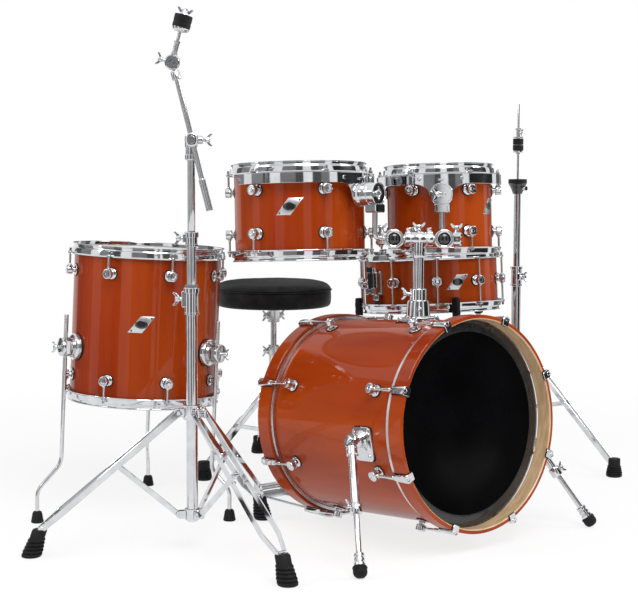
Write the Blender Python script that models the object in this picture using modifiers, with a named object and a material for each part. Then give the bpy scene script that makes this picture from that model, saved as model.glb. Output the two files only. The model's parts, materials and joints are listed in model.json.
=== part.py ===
"""A five-piece jazz drum kit with its stands, throne and pedals, in metres, +Z up, bass drum facing -Y."""

import math
from dataclasses import dataclass

import bmesh
import bpy
from mathutils import Matrix, Vector

# Shared small sizes
GAP = 0.0003
RUNNING = 0.0006
HOOP_WALL_GAP = 0.0010
HOOP_RISE = 0.0120
HOOP_SKIRT = 0.0140
HOOP_LIP = 0.0110
RING_REACH = 0.0052
RING_DROP = 0.0080
HEAD_THICK = 0.0010
LUG_RADIUS = 0.0115
LUG_REACH = 0.0240
ROD_REACH = 0.0165
ROD_WIDTH = 0.0050
ROD_HEAD_RISE = 0.0100
EAR_THICK = 0.0040
EAR_RISE = 0.0026

# Bass drum, with its axis along -Y, the front raised
BASS_RADIUS = 0.2285
BASS_DEPTH = 0.4060
BASS_WALL = 0.0070
BASS_HEIGHT = 0.2655
BASS_RISE = math.radians(3.86)
BASS_LUGS = 8
BASS_LUG_INSET = 0.0620
BASS_SIDES = 32
BASS_HOOP_THICK = 0.0100
BASS_HOOP_WIDTH = 0.0390
BASS_HOOP_SEAT = 0.0025
BASS_RING_REACH = 0.0075
CLAW_WIDTH = 0.0180
CLAW_THICK = 0.0085
CLAW_LENGTH = 0.0480
CLAW_LIP = 0.0040

# Spurs
SPUR_AXIAL = 0.1110
SPUR_DROP_ANGLE = math.radians(7.0)
SPUR_KNUCKLE_ANGLE = math.radians(3.7)
SPUR_STANDOFF = 0.0340
SPUR_FOOT_SPREAD = 0.3640
SPUR_FOOT_FORWARD = 0.2566
SPUR_TUBE_RADIUS = 0.0095
SPUR_ROD_RADIUS = 0.0065
SPUR_TUBE_LENGTH = 0.1500
SPUR_EYE_RADIUS = 0.0170
SPUR_EYE_THICK = 0.0140
SPUR_PIN_RADIUS = 0.0050
SPUR_FOOT_RADIUS = 0.0150

# Tom mount
MOUNT_FORWARD = 0.0440
MOUNT_HEIGHT = 0.0720
POST_RADIUS = 0.0127
POST_BOTTOM_DEPTH = 0.0350
CLAMP_HEIGHT = 0.6830
CLAMP_SPACING = 0.0570
CLAMP_BAR_ANGLE = math.radians(-40.2)
CLAMP_BALL_RADIUS = 0.0225
ARM_RADIUS = 0.0062
ARM_TOP = 0.7930

# Suspension bracket of a rack tom
BAND_OFFSET = 0.0225
BAND_THICK = 0.0025
BAND_HEIGHT = 0.0240
BAND_DROP = 0.0270
BAND_HALF_ANGLE = math.radians(104.0)
TAB_WIDTH = 0.0100
TAB_THICK = 0.0030
BOSS_RADIUS = 0.0265
BOSS_RISE = 0.0355
# Across from the apron's middle, and down from the band's middle, in metres
APRON_EDGE = ((0.0, 0.0660), (0.0130, 0.0610), (0.0230, 0.0500), (0.0275, 0.0370), (0.0310, 0.0270),
              (0.0380, 0.0200), (0.0480, 0.0150), (0.0600, 0.0120))
ARM_STANDOFF = 0.0660

# Stands
STRIP_WIDTH = 0.0140
STRIP_THICK = 0.0030
FOOT_TOP_RADIUS = 0.0155
FOOT_BASE_RADIUS = 0.0218
FOOT_HEIGHT = 0.0520
BRACE_THICK = 0.0080
BRACE_WIDTH = 0.0120
OUTER_TUBE = 0.0127
INNER_TUBE = 0.0095

# Snare stand
SNARE_FEET_RADIUS = 0.2000
SNARE_FEET = (-98.0, 22.0, 142.0)
SNARE_HUB = 0.2350
SNARE_PIVOT_DROP = 0.1550
GRIP_RADIUS = 0.0110
GRIP_GAP = -0.0011
BASKET_WIRE = 0.0042

# Throne
THRONE_PLACE = (0.2340, 0.7810, 0.0)
THRONE_FEET = (181.9, 61.8, -58.2)
THRONE_FEET_RADIUS = 0.2480
THRONE_HUB = 0.2350
THRONE_TUBE_TOP = 0.3520
THRONE_POST_RADIUS = 0.0085
SEAT_RADIUS = 0.1625
SEAT_BOTTOM = 0.4620
SEAT_TOP = 0.5375

# Cymbal boom stand
CYMBAL_PLACE = (-0.4976, 0.1470, 0.0)
CYMBAL_FEET = (25.5, 148.0, -92.0)
PIVOT_RADIUS = 0.0300
LEG_PIVOT_HEIGHT = 0.3100
BRACE_PIVOT_HEIGHT = 0.0850
LEG_ANGLE = math.radians(50.0)
BRACE_LENGTH = (LEG_PIVOT_HEIGHT - BRACE_PIVOT_HEIGHT) / 2 / math.cos(LEG_ANGLE)
LEG_END_HEIGHT = 0.0590
LEG_LENGTH = (LEG_PIVOT_HEIGHT - LEG_END_HEIGHT) / math.cos(LEG_ANGLE)
LEG_SPACING = 0.0150
LEG_KNEE = 0.8600
LEG_KNEE_SPACING = 0.0215
LEG_END_SPACING = 0.0085
LEG_FOOT_REACH = 0.0200
CYMBAL_COLLAR_TOP = 0.5830
MIDDLE_TUBE_RADIUS = 0.0108
MIDDLE_TUBE_TOP = 0.7030
UPPER_TUBE_RADIUS = 0.0084
BOOM_PIVOT_HEIGHT = 0.9010
UPPER_TUBE_TOP = BOOM_PIVOT_HEIGHT - 0.0280
BOOM_OFFSET = 0.0200
BOOM_SHIFT = 0.0035
BOOM_RADIUS = 0.0055
BOOM_LEAN = math.radians(-13.9)
BOOM_LOW = 0.1560
BOOM_HIGH = 0.1330
TILTER_RISE = 0.1634
TILTER_LEAN = math.radians(14.5)
FELT_TOP = 0.1020
FELT_RADIUS = 0.0194

# Hi-hat stand
HIHAT_PLACE = (0.8090, 0.3920, 0.0)
HIHAT_FEET = (-75.0, 45.0, 165.0)
HIHAT_FEET_RADIUS = 0.3100
HIHAT_HUB = 0.3500
HIHAT_TUBE_TOP = 0.5720
HIHAT_CUP_BOTTOM = 0.7775
HIHAT_CUP_TOP = 0.8200
HIHAT_ROD_TOP = 1.0340
HIHAT_ROD_RADIUS = 0.0032
HIHAT_PEDAL_ANGLE = math.radians(105.0)
HIHAT_HEEL = 0.2600

# Bass pedal
PEDAL_WIDTH = 0.0750
PEDAL_HEEL = 0.5000
PEDAL_TOE = 0.2700
PEDAL_HEEL_HEIGHT = 0.0260
PEDAL_TOE_HEIGHT = 0.1000
PEDAL_AXLE = (0.0, 0.2750, 0.2000)
BEATER_LENGTH = 0.1800
BEATER_REST = math.radians(35.0)
BEATER_RADIUS = 0.0240
BEATER_THICK = 0.0500


@dataclass(frozen=True)
class Drum:
    """Sizes and place of one drum: its shell's middle, its axis and its fittings."""

    name: str
    radius: float
    depth: float
    middle: tuple
    lean: tuple
    lugs: int
    first_lug: float
    lug_inset: float
    sides: int
    wall: float = 0.0065

    @property
    def frame(self):
        """The drum's own frame, with +Z along its axis and X as near to the kit's X as it can be."""
        up = Vector((*self.lean, 1.0)).normalized()
        across = Vector((1, 0, 0)) - up * up.x
        across.normalize()
        turn = Matrix((across, up.cross(across), up)).transposed()
        return Matrix.Translation(self.middle) @ turn.to_4x4()

    @property
    def lug_angles(self):
        """Angle of each lug about the axis, in radians."""
        return [math.radians(self.first_lug) + math.tau * k / self.lugs for k in range(self.lugs)]


TOM12 = Drum("tom12", 0.1524, 0.2030, (-0.132, 0.223, 0.739), (0.015, 0.052), 6, -108.0, 0.052, 24)
TOM10 = Drum("tom10", 0.1270, 0.2030, (0.223, 0.115, 0.738), (0.015, 0.058), 6, -103.0, 0.052, 20)
SNARE = Drum("snare", 0.1778, 0.1400, (0.461, 0.385, 0.5465), (-0.002, 0.062), 10, -129.5, 0.070, 24)
FLOOR_TOM = Drum("floor_tom", 0.1778, 0.3560, (-0.340, 0.563, 0.466), (0.0395, -0.023), 8, -106.8, 0.052, 28)

TOM12_BRACKET_ANGLE = math.radians(-78.0)
TOM10_BRACKET_ANGLE = math.radians(-133.0)
SNARE_ARM_ANGLES = (129.0, 5.0, -116.0)
THROW_OFF_ANGLE = math.radians(176.5)
FLOOR_LEG_ANGLES = (51.7, 171.7, -68.3)
FLOOR_LEG_RADIUS = 0.0050
# Each foot from the drum's middle
FLOOR_FEET = ((0.1678, 0.2451), (-0.2784, 0.0491), (0.0872, -0.2246))
FLOOR_LEG_BEND = 0.1280
FLOOR_LEG_STRAIGHT = 0.0760
FLOOR_LEG_OFFSET = 0.0300
FLOOR_BRACKET_DROP = 0.0570
FLOOR_LEG_TOP = 0.0200


def clear_scene():
    """Removes every object of the open scene."""
    for obj in list(bpy.data.objects):
        bpy.data.objects.remove(obj, do_unlink=True)


def new_collection(name):
    group = bpy.data.collections.new(name)
    bpy.context.scene.collection.children.link(group)
    return group


clear_scene()
KIT = new_collection("drum_kit")
CUTTERS = new_collection("cutters")
NODES = []


def make_material(name, colour, roughness, metallic=0.0):
    """A Principled material of one plain colour."""
    made = bpy.data.materials.new(name)
    made.use_nodes = True
    shader = made.node_tree.nodes["Principled BSDF"]
    shader.inputs["Base Color"].default_value = (*colour, 1.0)
    shader.inputs["Roughness"].default_value = roughness
    shader.inputs["Metallic"].default_value = metallic
    return made


LACQUER = make_material("amber_lacquer", (0.47, 0.11, 0.02), 0.12)
CHROME = make_material("chrome", (0.78, 0.79, 0.81), 0.12, 1.0)
BLACK_HEAD = make_material("black_head", (0.012, 0.012, 0.013), 0.25)
WHITE_HEAD = make_material("coated_head", (0.82, 0.82, 0.80), 0.5)
VINYL = make_material("black_vinyl", (0.018, 0.018, 0.02), 0.45)
FELT = make_material("black_felt", (0.02, 0.02, 0.022), 0.95)
STEEL = make_material("steel_wire", (0.6, 0.6, 0.62), 0.3, 1.0)


def world_of(obj):
    """World matrix, worked out along the parents."""
    own = obj.matrix_basis.copy()
    return own if obj.parent is None else world_of(obj.parent) @ own


def attach(obj, world, parent):
    """Gives the object its world matrix, under its parent."""
    obj.parent = parent
    obj.matrix_basis = world if parent is None else world_of(parent).inverted() @ world


def empty_at(name, place, parent=None):
    """An empty at a joint or at a unit's reference point."""
    made = bpy.data.objects.new(name, None)
    made.empty_display_size = 0.03
    KIT.objects.link(made)
    attach(made, Matrix.Translation(place), parent)
    return made


def frame_along(origin, direction, side=(1, 0, 0)):
    """A frame at origin with +Z along direction, and X as near to side as it can be."""
    along = Vector(direction).normalized()
    across = Vector(side) - along * along.dot(Vector(side))
    across.normalize()
    turn = Matrix((across, along.cross(across), along)).transposed()
    return Matrix.Translation(origin) @ turn.to_4x4()


def polar(radius, angle, height=0.0):
    return Vector((radius * math.cos(angle), radius * math.sin(angle), height))


def rounded_path(points, radius, steps=4):
    """The points of a path whose inner corners are arcs of about this radius."""
    corners = [Vector(p) for p in points]
    path = [corners[0]]
    for before, corner, after in zip(corners, corners[1:], corners[2:]):
        back, ahead = (before - corner).normalized(), (after - corner).normalized()
        reach = min(radius, (before - corner).length / 2, (after - corner).length / 2)
        start, end = corner + back * reach, corner + ahead * reach
        for step in range(steps + 1):
            share = step / steps
            path.append(start.lerp(corner, share).lerp(corner.lerp(end, share), share))
    path.append(corners[-1])
    return path


class Shape:
    """Closed shapes that stay clear of each other, gathered in one mesh."""

    def __init__(self):
        self.mesh = bmesh.new()

    def rod(self, start, end, radius, sides=12, end_radius=None):
        """A cylinder, or a cone when its end has another radius."""
        start, end = Vector(start), Vector(end)
        place = frame_along((start + end) / 2, end - start, (0.31, 0.95, 0.07))
        far = radius if end_radius is None else end_radius
        bmesh.ops.create_cone(self.mesh, cap_ends=True, segments=sides, radius1=radius, radius2=far,
                              depth=(end - start).length, matrix=place)
        return self

    def cone(self, out, top, top_radius, base, base_radius, sides=12):
        """A cone that leans from its flat top to its flat base."""
        turns = [math.atan2(out.y, out.x) + math.tau * (k + 0.5) / sides for k in range(sides)]
        rings = [[self.mesh.verts.new(middle + polar(radius, turn)) for turn in turns]
                 for middle, radius in ((top, top_radius), (base, base_radius))]
        for ring in rings:
            self.mesh.faces.new(ring)
        for k, (high, low) in enumerate(zip(*rings)):
            after = (k + 1) % sides
            self.mesh.faces.new((high, low, rings[1][after], rings[0][after]))
        return self

    def apron(self, edge, inner, outer, top):
        """A curved sheet that hangs from a band; edge holds (turn, low) pairs."""
        columns_made = []
        for turn, low in edge:
            columns_made.append([self.mesh.verts.new(polar(reach, turn, height))
                                 for reach, height in ((inner, low), (outer, low), (outer, top),
                                                       (inner, top))])
        for before, after in zip(columns_made, columns_made[1:]):
            for k in range(4):
                nearby = (k + 1) % 4
                self.mesh.faces.new((before[k], before[nearby], after[nearby], after[k]))
        for column in (columns_made[0], columns_made[-1]):
            self.mesh.faces.new(column)
        return self

    def box(self, centre, size, frame=None):
        """A box of this size, its axes those of the frame."""
        place = (frame or Matrix.Identity(4)) @ Matrix.Translation(centre)
        bmesh.ops.create_cube(self.mesh, size=1.0, matrix=place @ Matrix.Diagonal((*size, 1.0)))
        return self

    def bar(self, start, end, width, thick, side):
        """A flat bar between two points, its thickness along side."""
        start, end = Vector(start), Vector(end)
        place = frame_along((start + end) / 2, end - start, side)
        return self.box((0, 0, 0), (thick, width, (end - start).length), place)

    def ball(self, centre, radius, sides=12):
        bmesh.ops.create_uvsphere(self.mesh, u_segments=sides, v_segments=sides // 2 + 1, radius=radius,
                                  matrix=Matrix.Translation(centre))
        return self

    def take(self, curve, place):
        """Adds the mesh that a curve makes, its caps welded."""
        holder = bpy.data.objects.new("guide", curve)
        made = bpy.data.meshes.new_from_object(holder)
        made.transform(place)
        self.mesh.from_mesh(made)
        bpy.data.objects.remove(holder)
        bpy.data.meshes.remove(made)
        bmesh.ops.remove_doubles(self.mesh, verts=self.mesh.verts, dist=1e-6)
        return self

    def path(self, points, radius, roundness=1):
        """A round tube along the points."""
        curve = bpy.data.curves.new("guide", "CURVE")
        curve.dimensions = "3D"
        curve.bevel_depth = radius
        curve.bevel_resolution = roundness
        curve.use_fill_caps = True
        spline = curve.splines.new("POLY")
        spline.points.add(len(points) - 1)
        for point, place in zip(spline.points, points):
            point.co = (*place, 1.0)
        return self.take(curve, Matrix.Identity(4))

    def plate(self, outline, thick, frame):
        """A flat outline in the frame's XY plane, as thick as this on both sides together."""
        curve = bpy.data.curves.new("outline", "CURVE")
        curve.dimensions = "2D"
        curve.fill_mode = "BOTH"
        curve.extrude = thick / 2
        spline = curve.splines.new("POLY")
        spline.points.add(len(outline) - 1)
        for point, place in zip(spline.points, outline):
            point.co = (*place, 0.0, 1.0)
        spline.use_cyclic_u = True
        return self.take(curve, frame)

    def as_mesh(self, name):
        bmesh.ops.recalc_face_normals(self.mesh, faces=self.mesh.faces)
        made = bpy.data.meshes.new(name)
        self.mesh.to_mesh(made)
        self.mesh.free()
        return made


def add_node(name, mesh, world, material, parent):
    """Adds one sub-part to the kit."""
    made = bpy.data.objects.new(name, mesh)
    mesh.materials.append(material)
    KIT.objects.link(made)
    attach(made, world, parent)
    NODES.append(made)
    return made


def combine(node, shape, operation):
    """Joins a shape to the node, or cuts it from the node; the shape is in the node's frame."""
    label = f"{node.name}_{operation.lower()}_{len(node.modifiers)}"
    tool = bpy.data.objects.new(label, shape.as_mesh(label))
    CUTTERS.objects.link(tool)
    tool.hide_render = True
    tool.display_type = "WIRE"
    attach(tool, world_of(node), node)
    step = node.modifiers.new(label, "BOOLEAN")
    step.operation = operation
    step.object = tool


def build_node(name, world, material, parent, shapes, cuts=()):
    """A node joined from shapes, each in the node's frame, with the cuts taken from it last."""
    node = add_node(name, shapes[0].as_mesh(name), world, material, parent)
    for shape in shapes[1:]:
        combine(node, shape, "UNION")
    for shape in cuts:
        combine(node, shape, "DIFFERENCE")
    return node


def turned_node(name, profile, sides, world, material, parent, closed=True):
    """A node turned about its own Z; the profile's (radius, height) points run down its outer side."""
    mesh = bpy.data.meshes.new(name)
    count = len(profile)
    edges = [(k, k + 1) for k in range(count - 1)]
    if closed:
        edges.append((count - 1, 0))
    mesh.from_pydata([(radius, 0.0, height) for radius, height in profile], edges, [])
    node = add_node(name, mesh, world, material, parent)
    turn = node.modifiers.new("turn", "SCREW")
    turn.axis = "Z"
    turn.angle = math.tau
    turn.steps = turn.render_steps = sides
    turn.use_merge_vertices = True
    turn.merge_threshold = 0.00001
    turn.use_smooth_shade = False
    return node


def mirrored(profile):
    """The profile for the drum's other end."""
    return [(radius, -height) for radius, height in reversed(profile)]


def add_shell(drum, parent):
    """A drum's shell with its lugs."""
    r, half = drum.radius, drum.depth / 2
    inner = r - drum.wall
    shell = turned_node(f"{drum.name}_shell", [(r, half), (r, -half), (inner, -half), (inner, half)],
                        drum.sides, drum.frame, LACQUER, parent)
    lugs = Shape()
    rows = {half - drum.lug_inset, drum.lug_inset - half}
    for angle in drum.lug_angles:
        for height in sorted(rows):
            lugs.rod(polar(r - drum.wall / 2, angle, height), polar(r + LUG_REACH, angle, height),
                     LUG_RADIUS, 6)
    combine(shell, lugs, "UNION")
    return shell


def add_rods(node, drum, side):
    """Ears on a hoop with the tension rods that run from them to the lugs."""
    r, half = drum.radius, drum.depth / 2
    ear = half - HOOP_SKIRT + EAR_RISE
    low = half - drum.lug_inset + LUG_RADIUS + GAP
    high = half - HOOP_SKIRT + ROD_HEAD_RISE
    near, far = r + ROD_REACH - ROD_WIDTH / 2, r + ROD_REACH + ROD_WIDTH / 2
    inner = r + HOOP_LIP - 0.0030
    outline = [(inner, ear - EAR_THICK / 2), (near, ear - EAR_THICK / 2), (near, low), (far, low),
               (far, high),
               (near, high), (near, ear + EAR_THICK / 2), (inner, ear + EAR_THICK / 2)]
    rods = Shape()
    for angle in drum.lug_angles:
        rods.plate(outline, ROD_WIDTH, columns(polar(1, angle), (0, 0, side), (0, 0, 0)))
    combine(node, rods, "UNION")


def add_top_hoop(drum, parent):
    """The batter side's flanged steel hoop with its rods."""
    r, half = drum.radius, drum.depth / 2
    step = half + GAP + HEAD_THICK + GAP
    skirt = r + RING_REACH + HOOP_WALL_GAP
    profile = [(r + HOOP_WALL_GAP, half + HOOP_RISE), (r + 0.0065, half + HOOP_RISE), (r + 0.0087, step),
               (r + HOOP_LIP, half - HOOP_SKIRT), (skirt, half - HOOP_SKIRT), (skirt, step),
               (r + HOOP_WALL_GAP, step)]
    hoop = turned_node(f"{drum.name}_top_hoop", profile, drum.sides, drum.frame, CHROME, parent)
    add_rods(hoop, drum, 1)


def add_bottom_hoop(drum, parent):
    """The resonant side's hoop, holding its head, with its rods."""
    r, half = drum.radius, drum.depth / 2
    seat, face = half + GAP, half + GAP + HEAD_THICK
    profile = [(0, face), (r + HOOP_WALL_GAP, face), (r + HOOP_WALL_GAP, half + HOOP_RISE),
               (r + 0.0065, half + HOOP_RISE), (r + 0.0087, face), (r + HOOP_LIP, half - HOOP_SKIRT),
               (r + RUNNING, half - HOOP_SKIRT), (r + RUNNING, seat), (0, seat)]
    hoop = turned_node(f"{drum.name}_bottom_hoop", mirrored(profile), drum.sides, drum.frame, CHROME, parent,
                       closed=False)
    add_rods(hoop, drum, -1)
    return hoop


def add_head(drum, parent, material):
    """The batter head, a film on a ring that sits round the shell's edge."""
    r, half = drum.radius, drum.depth / 2
    seat, face = half + GAP, half + GAP + HEAD_THICK
    profile = [(0, face), (r + RING_REACH, face), (r + RING_REACH, half - RING_DROP),
               (r + RUNNING, half - RING_DROP), (r + RUNNING, seat), (0, seat)]
    return turned_node(f"{drum.name}_top_head", profile, drum.sides, drum.frame, material, parent,
                       closed=False)


def add_drum(drum, parent):
    """Everything that one drum is made of, apart from what carries it."""
    shell = add_shell(drum, parent)
    add_top_hoop(drum, parent)
    bottom = add_bottom_hoop(drum, parent)
    add_head(drum, parent, WHITE_HEAD)
    return shell, bottom


def tangent_of(angle):
    return Vector((-math.sin(angle), math.cos(angle), 0.0))


def columns(across, up, origin):
    """A frame with X along across and Y along up, both unit vectors at right angles."""
    across, up = Vector(across), Vector(up)
    turn = Matrix((across, up, across.cross(up))).transposed()
    return Matrix.Translation(origin) @ turn.to_4x4()


def wing_outline(reach=0.0):
    """A wing bolt seen flat: its stem, then its two wings."""
    return [(-0.0035, -0.0050), (0.0035, -0.0050), (0.0035, 0.0060 + reach), (0.0150, 0.0100 + reach),
            (0.0150, 0.0200 + reach), (-0.0150, 0.0200 + reach), (-0.0150, 0.0100 + reach),
            (-0.0035, 0.0060 + reach)]


def build_bass(root):
    """The bass drum, its spurs and the receiver for the tom post."""
    frame = Matrix.Translation((0, 0, BASS_HEIGHT)) @ Matrix.Rotation(math.pi / 2 - BASS_RISE, 4, "X")
    r, half = BASS_RADIUS, BASS_DEPTH / 2
    inner = r - BASS_WALL
    shell = turned_node("bass_shell", [(r, half), (r, -half), (inner, -half), (inner, half)], BASS_SIDES,
                        frame, LACQUER, root)
    angles = [math.tau * (k + 0.5) / BASS_LUGS for k in range(BASS_LUGS)]
    lugs = Shape()
    for angle in angles:
        for height in (half - BASS_LUG_INSET, BASS_LUG_INSET - half):
            lugs.rod(polar(r - BASS_WALL / 2, angle, height), polar(r + LUG_REACH, angle, height),
                     LUG_RADIUS, 6)
    combine(shell, lugs, "UNION")
    plates, pins = Shape(), Shape()
    for side in (-1, 1):
        turn = Matrix.Rotation(math.pi + SPUR_DROP_ANGLE if side < 0 else -SPUR_DROP_ANGLE, 4, "Z")
        plates.box((r + 0.0030, 0, SPUR_AXIAL), (0.0140, 0.0700, 0.0600), turn)
        knuckle, along, axis = spur_lines(frame, side)
        back = frame.inverted()
        pins.rod(back @ (knuckle - axis * 0.0345), back @ (knuckle + axis * (SPUR_EYE_THICK / 2 + 0.004)),
                 SPUR_PIN_RADIUS, 12)
    combine(shell, plates, "UNION")
    combine(shell, pins, "UNION")
    hole = Shape()
    drop = frame.inverted()
    hole.rod(drop @ Vector((0, -MOUNT_FORWARD, 0.44)), drop @ Vector((0, -MOUNT_FORWARD, 0.56)),
             POST_RADIUS + 2 * RUNNING, 16)
    combine(shell, hole, "DIFFERENCE")

    seat, face = half + GAP, half + GAP + HEAD_THICK
    low = face + GAP
    high = low + BASS_HOOP_WIDTH
    hoop_in = r + BASS_HOOP_SEAT
    hoop_out = hoop_in + BASS_HOOP_THICK
    ring = r + BASS_RING_REACH
    skirt = half - 0.0100
    front = turned_node("bass_front_hoop", [(hoop_out, high), (hoop_out, low), (hoop_in, low),
                                            (hoop_in, high)],
                        BASS_SIDES, frame, LACQUER, root)
    add_claws(front, angles, hoop_out, high, 1)
    turned_node("bass_front_head", [(0, face), (ring, face), (ring, skirt), (r + RUNNING, skirt),
                                    (r + RUNNING, seat), (0, seat)], BASS_SIDES, frame, BLACK_HEAD, root,
                closed=False)
    rear_profile = [(0, face), (hoop_in, face), (hoop_in, high), (hoop_out, high), (hoop_out, low),
                    (ring, low),
                    (ring, skirt), (r + RUNNING, skirt), (r + RUNNING, seat), (0, seat)]
    rear = turned_node("bass_rear_hoop", mirrored(rear_profile), BASS_SIDES, frame, LACQUER, root,
                       closed=False)
    add_claws(rear, angles, hoop_out, high, -1)
    for side, name in ((-1, "left"), (1, "right")):
        add_spur(frame, side, name, root)
    return frame


def add_claws(hoop, angles, hoop_out, high, side):
    """The claws that hook over a bass hoop, with their rods."""
    outer = hoop_out + CLAW_THICK - 0.0005
    root_line = hoop_out - 0.0030
    tip = hoop_out - BASS_HOOP_THICK - 0.0020
    front = high + CLAW_LIP
    hook = [(tip, front), (outer, front), (outer, front - CLAW_LENGTH), (root_line, front - CLAW_LENGTH),
            (root_line, high - 0.0010), (tip, high - 0.0010)]
    low = BASS_DEPTH / 2 - BASS_LUG_INSET + LUG_RADIUS + GAP
    claws, rods = Shape(), Shape()
    for angle in angles:
        claws.plate(hook, CLAW_WIDTH, columns(polar(1, angle), (0, 0, side), (0, 0, 0)))
        rods.box((outer - 0.0035, 0, side * (low + high - 0.02) / 2),
                 (ROD_WIDTH, ROD_WIDTH, high - 0.02 - low),
                 Matrix.Rotation(angle, 4, "Z"))
    combine(hoop, claws, "UNION")
    combine(hoop, rods, "UNION")


def spur_lines(frame, side):
    """Where a spur turns, which way it points and the axis of its hinge."""
    angle = math.pi + SPUR_KNUCKLE_ANGLE if side < 0 else -SPUR_KNUCKLE_ANGLE
    knuckle = frame @ polar(BASS_RADIUS + SPUR_STANDOFF, angle, SPUR_AXIAL)
    foot = Vector((side * SPUR_FOOT_SPREAD, -SPUR_FOOT_FORWARD, SPUR_FOOT_RADIUS + GAP))
    along = (foot - knuckle).normalized()
    axis = along.cross(Vector((0, 1, 0))).normalized()
    return knuckle, along, axis * (side if axis.x > 0 else -side)


def add_spur(frame, side, name, root):
    """A spur leg that folds back, and the rod that slides in it."""
    knuckle, along, axis = spur_lines(frame, side)
    world = frame_along(knuckle, along, axis)
    joint = empty_at(f"joint_{name}_spur_fold", knuckle, root)
    half = SPUR_EYE_THICK / 2
    eye = Shape().rod((-half, 0, 0), (half, 0, 0), SPUR_EYE_RADIUS, 16)
    start, end = 0.0100, 0.0200 + SPUR_TUBE_LENGTH
    tube = Shape().rod((0, 0, start), (0, 0, end), SPUR_TUBE_RADIUS, 14)
    pin_hole = Shape().rod((-0.03, 0, 0), (0.03, 0, 0), SPUR_PIN_RADIUS + RUNNING, 12)
    bore = Shape().rod((0, 0, 0.030), (0, 0, end + 0.01), SPUR_ROD_RADIUS + RUNNING, 12)
    build_node(f"{name}_spur_leg", world, CHROME, joint, [eye, tube], [pin_hole, bore])
    slide = empty_at(f"joint_{name}_spur_slide", knuckle + along * end, joint)
    reach = (knuckle.z - SPUR_FOOT_RADIUS - GAP) / -along.z
    rod = Shape().rod((0, 0, 0.085), (0, 0, reach), SPUR_ROD_RADIUS, 12)
    foot = Shape().ball((0, 0, reach), SPUR_FOOT_RADIUS, 12)
    build_node(f"{name}_spur_rod", world, CHROME, slide, [rod, foot])


def build_tom_mount(bass_frame, root):
    """The receiver on the bass drum, the post and its double clamp; returns the post's empty."""
    top = BASS_HEIGHT + MOUNT_FORWARD * math.tan(BASS_RISE) + BASS_RADIUS / math.cos(BASS_RISE)
    place = Vector((0, -MOUNT_FORWARD, 0))
    world = Matrix.Translation(place)
    base = Shape().box((0, 0, top - 0.002), (0.0900, 0.0660, 0.0240))
    tower = Shape().rod((0, 0, top), (0, 0, top + MOUNT_HEIGHT), 0.0300, 16, 0.0200)
    wing = Shape().plate(wing_outline(), 0.0050, columns((0, 0, 1), (0, -1, 0), (0, -0.0200, top + 0.0560)))
    back = world.inverted() @ bass_frame
    belly = Shape()
    bmesh.ops.create_cone(belly.mesh, cap_ends=True, segments=BASS_SIDES, radius1=BASS_RADIUS + GAP,
                          radius2=BASS_RADIUS + GAP, depth=BASS_DEPTH - 0.01, matrix=back)
    bore = Shape().rod((0, 0, top - 0.05), (0, 0, top + 0.1), POST_RADIUS + RUNNING, 16)
    build_node("tom_mount_base", world, CHROME, root, [base, tower, wing], [belly, bore])

    joint = empty_at("joint_tom_post_slide", place + Vector((0, 0, top + MOUNT_HEIGHT)), root)
    post_world = Matrix.Translation(place + Vector((0, 0, CLAMP_HEIGHT)))
    along = polar(1, CLAMP_BAR_ANGLE)
    post = Shape().rod((0, 0, top - POST_BOTTOM_DEPTH - CLAMP_HEIGHT), (0, 0, 0.0), POST_RADIUS, 16)
    bar = Shape().rod(along * -0.0320, along * 0.0320, 0.0170, 14)
    pins = Shape().rod(along * -0.0620, along * 0.0620, 0.0060, 12)
    bolt = Shape().plate(wing_outline(0.004), 0.0050, columns(along, (0, 0, 1), (0, 0, 0.0190)))
    build_node("tom_post", post_world, CHROME, joint, [post, bar, pins, bolt])
    arms = {}
    for name, side, drum, angle in (("left", -1, TOM12, TOM12_BRACKET_ANGLE),
                                    ("right", 1, TOM10, TOM10_BRACKET_ANGLE)):
        ball = place + Vector((0, 0, CLAMP_HEIGHT)) + along * side * CLAMP_SPACING
        arms[name] = add_tom_arm(name, ball, along * side, holder_of(drum, angle), joint)
    return arms


def holder_of(drum, angle):
    """Where the arm passes a rack tom's clamp."""
    return drum.frame @ polar(drum.radius + ARM_STANDOFF, angle)


def add_tom_arm(name, ball, outward, clamp, parent):
    """An arm that turns on the double clamp and carries a tom; returns the tom's empty."""
    joint = empty_at(f"joint_{name}_tom_arm", ball, parent)
    world = Matrix.Translation(ball)
    corner = Vector((clamp.x, clamp.y, ball.z)) - ball
    start = corner.normalized() * 0.012
    path = rounded_path([start, corner, (corner.x, corner.y, ARM_TOP - ball.z)], 0.022)
    across = Vector((outward.y, -outward.x, 0))
    knuckle = Shape().rod(across * -0.0170, across * 0.0170, CLAMP_BALL_RADIUS, 18)
    jaws = Shape().box((0.0260, 0, 0), (0.0280, 0.0240, 0.0280), columns(outward, across, (0, 0, 0)))
    arm = Shape().path(path, ARM_RADIUS, 1)
    bolt = Shape().plate(wing_outline(), 0.0050, columns(outward, (0, 0, 1),
                                                         outward * 0.0290 + Vector((0, 0, 0.0140))))
    hole = Shape().rod(outward * -0.03, outward * (0.0050 + GAP), 0.0060 + RUNNING, 12)
    build_node(f"{name}_tom_arm", world, CHROME, joint, [knuckle, jaws, arm, bolt], [hole])
    return empty_at(f"joint_{name}_tom_slide", clamp, joint)


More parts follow.
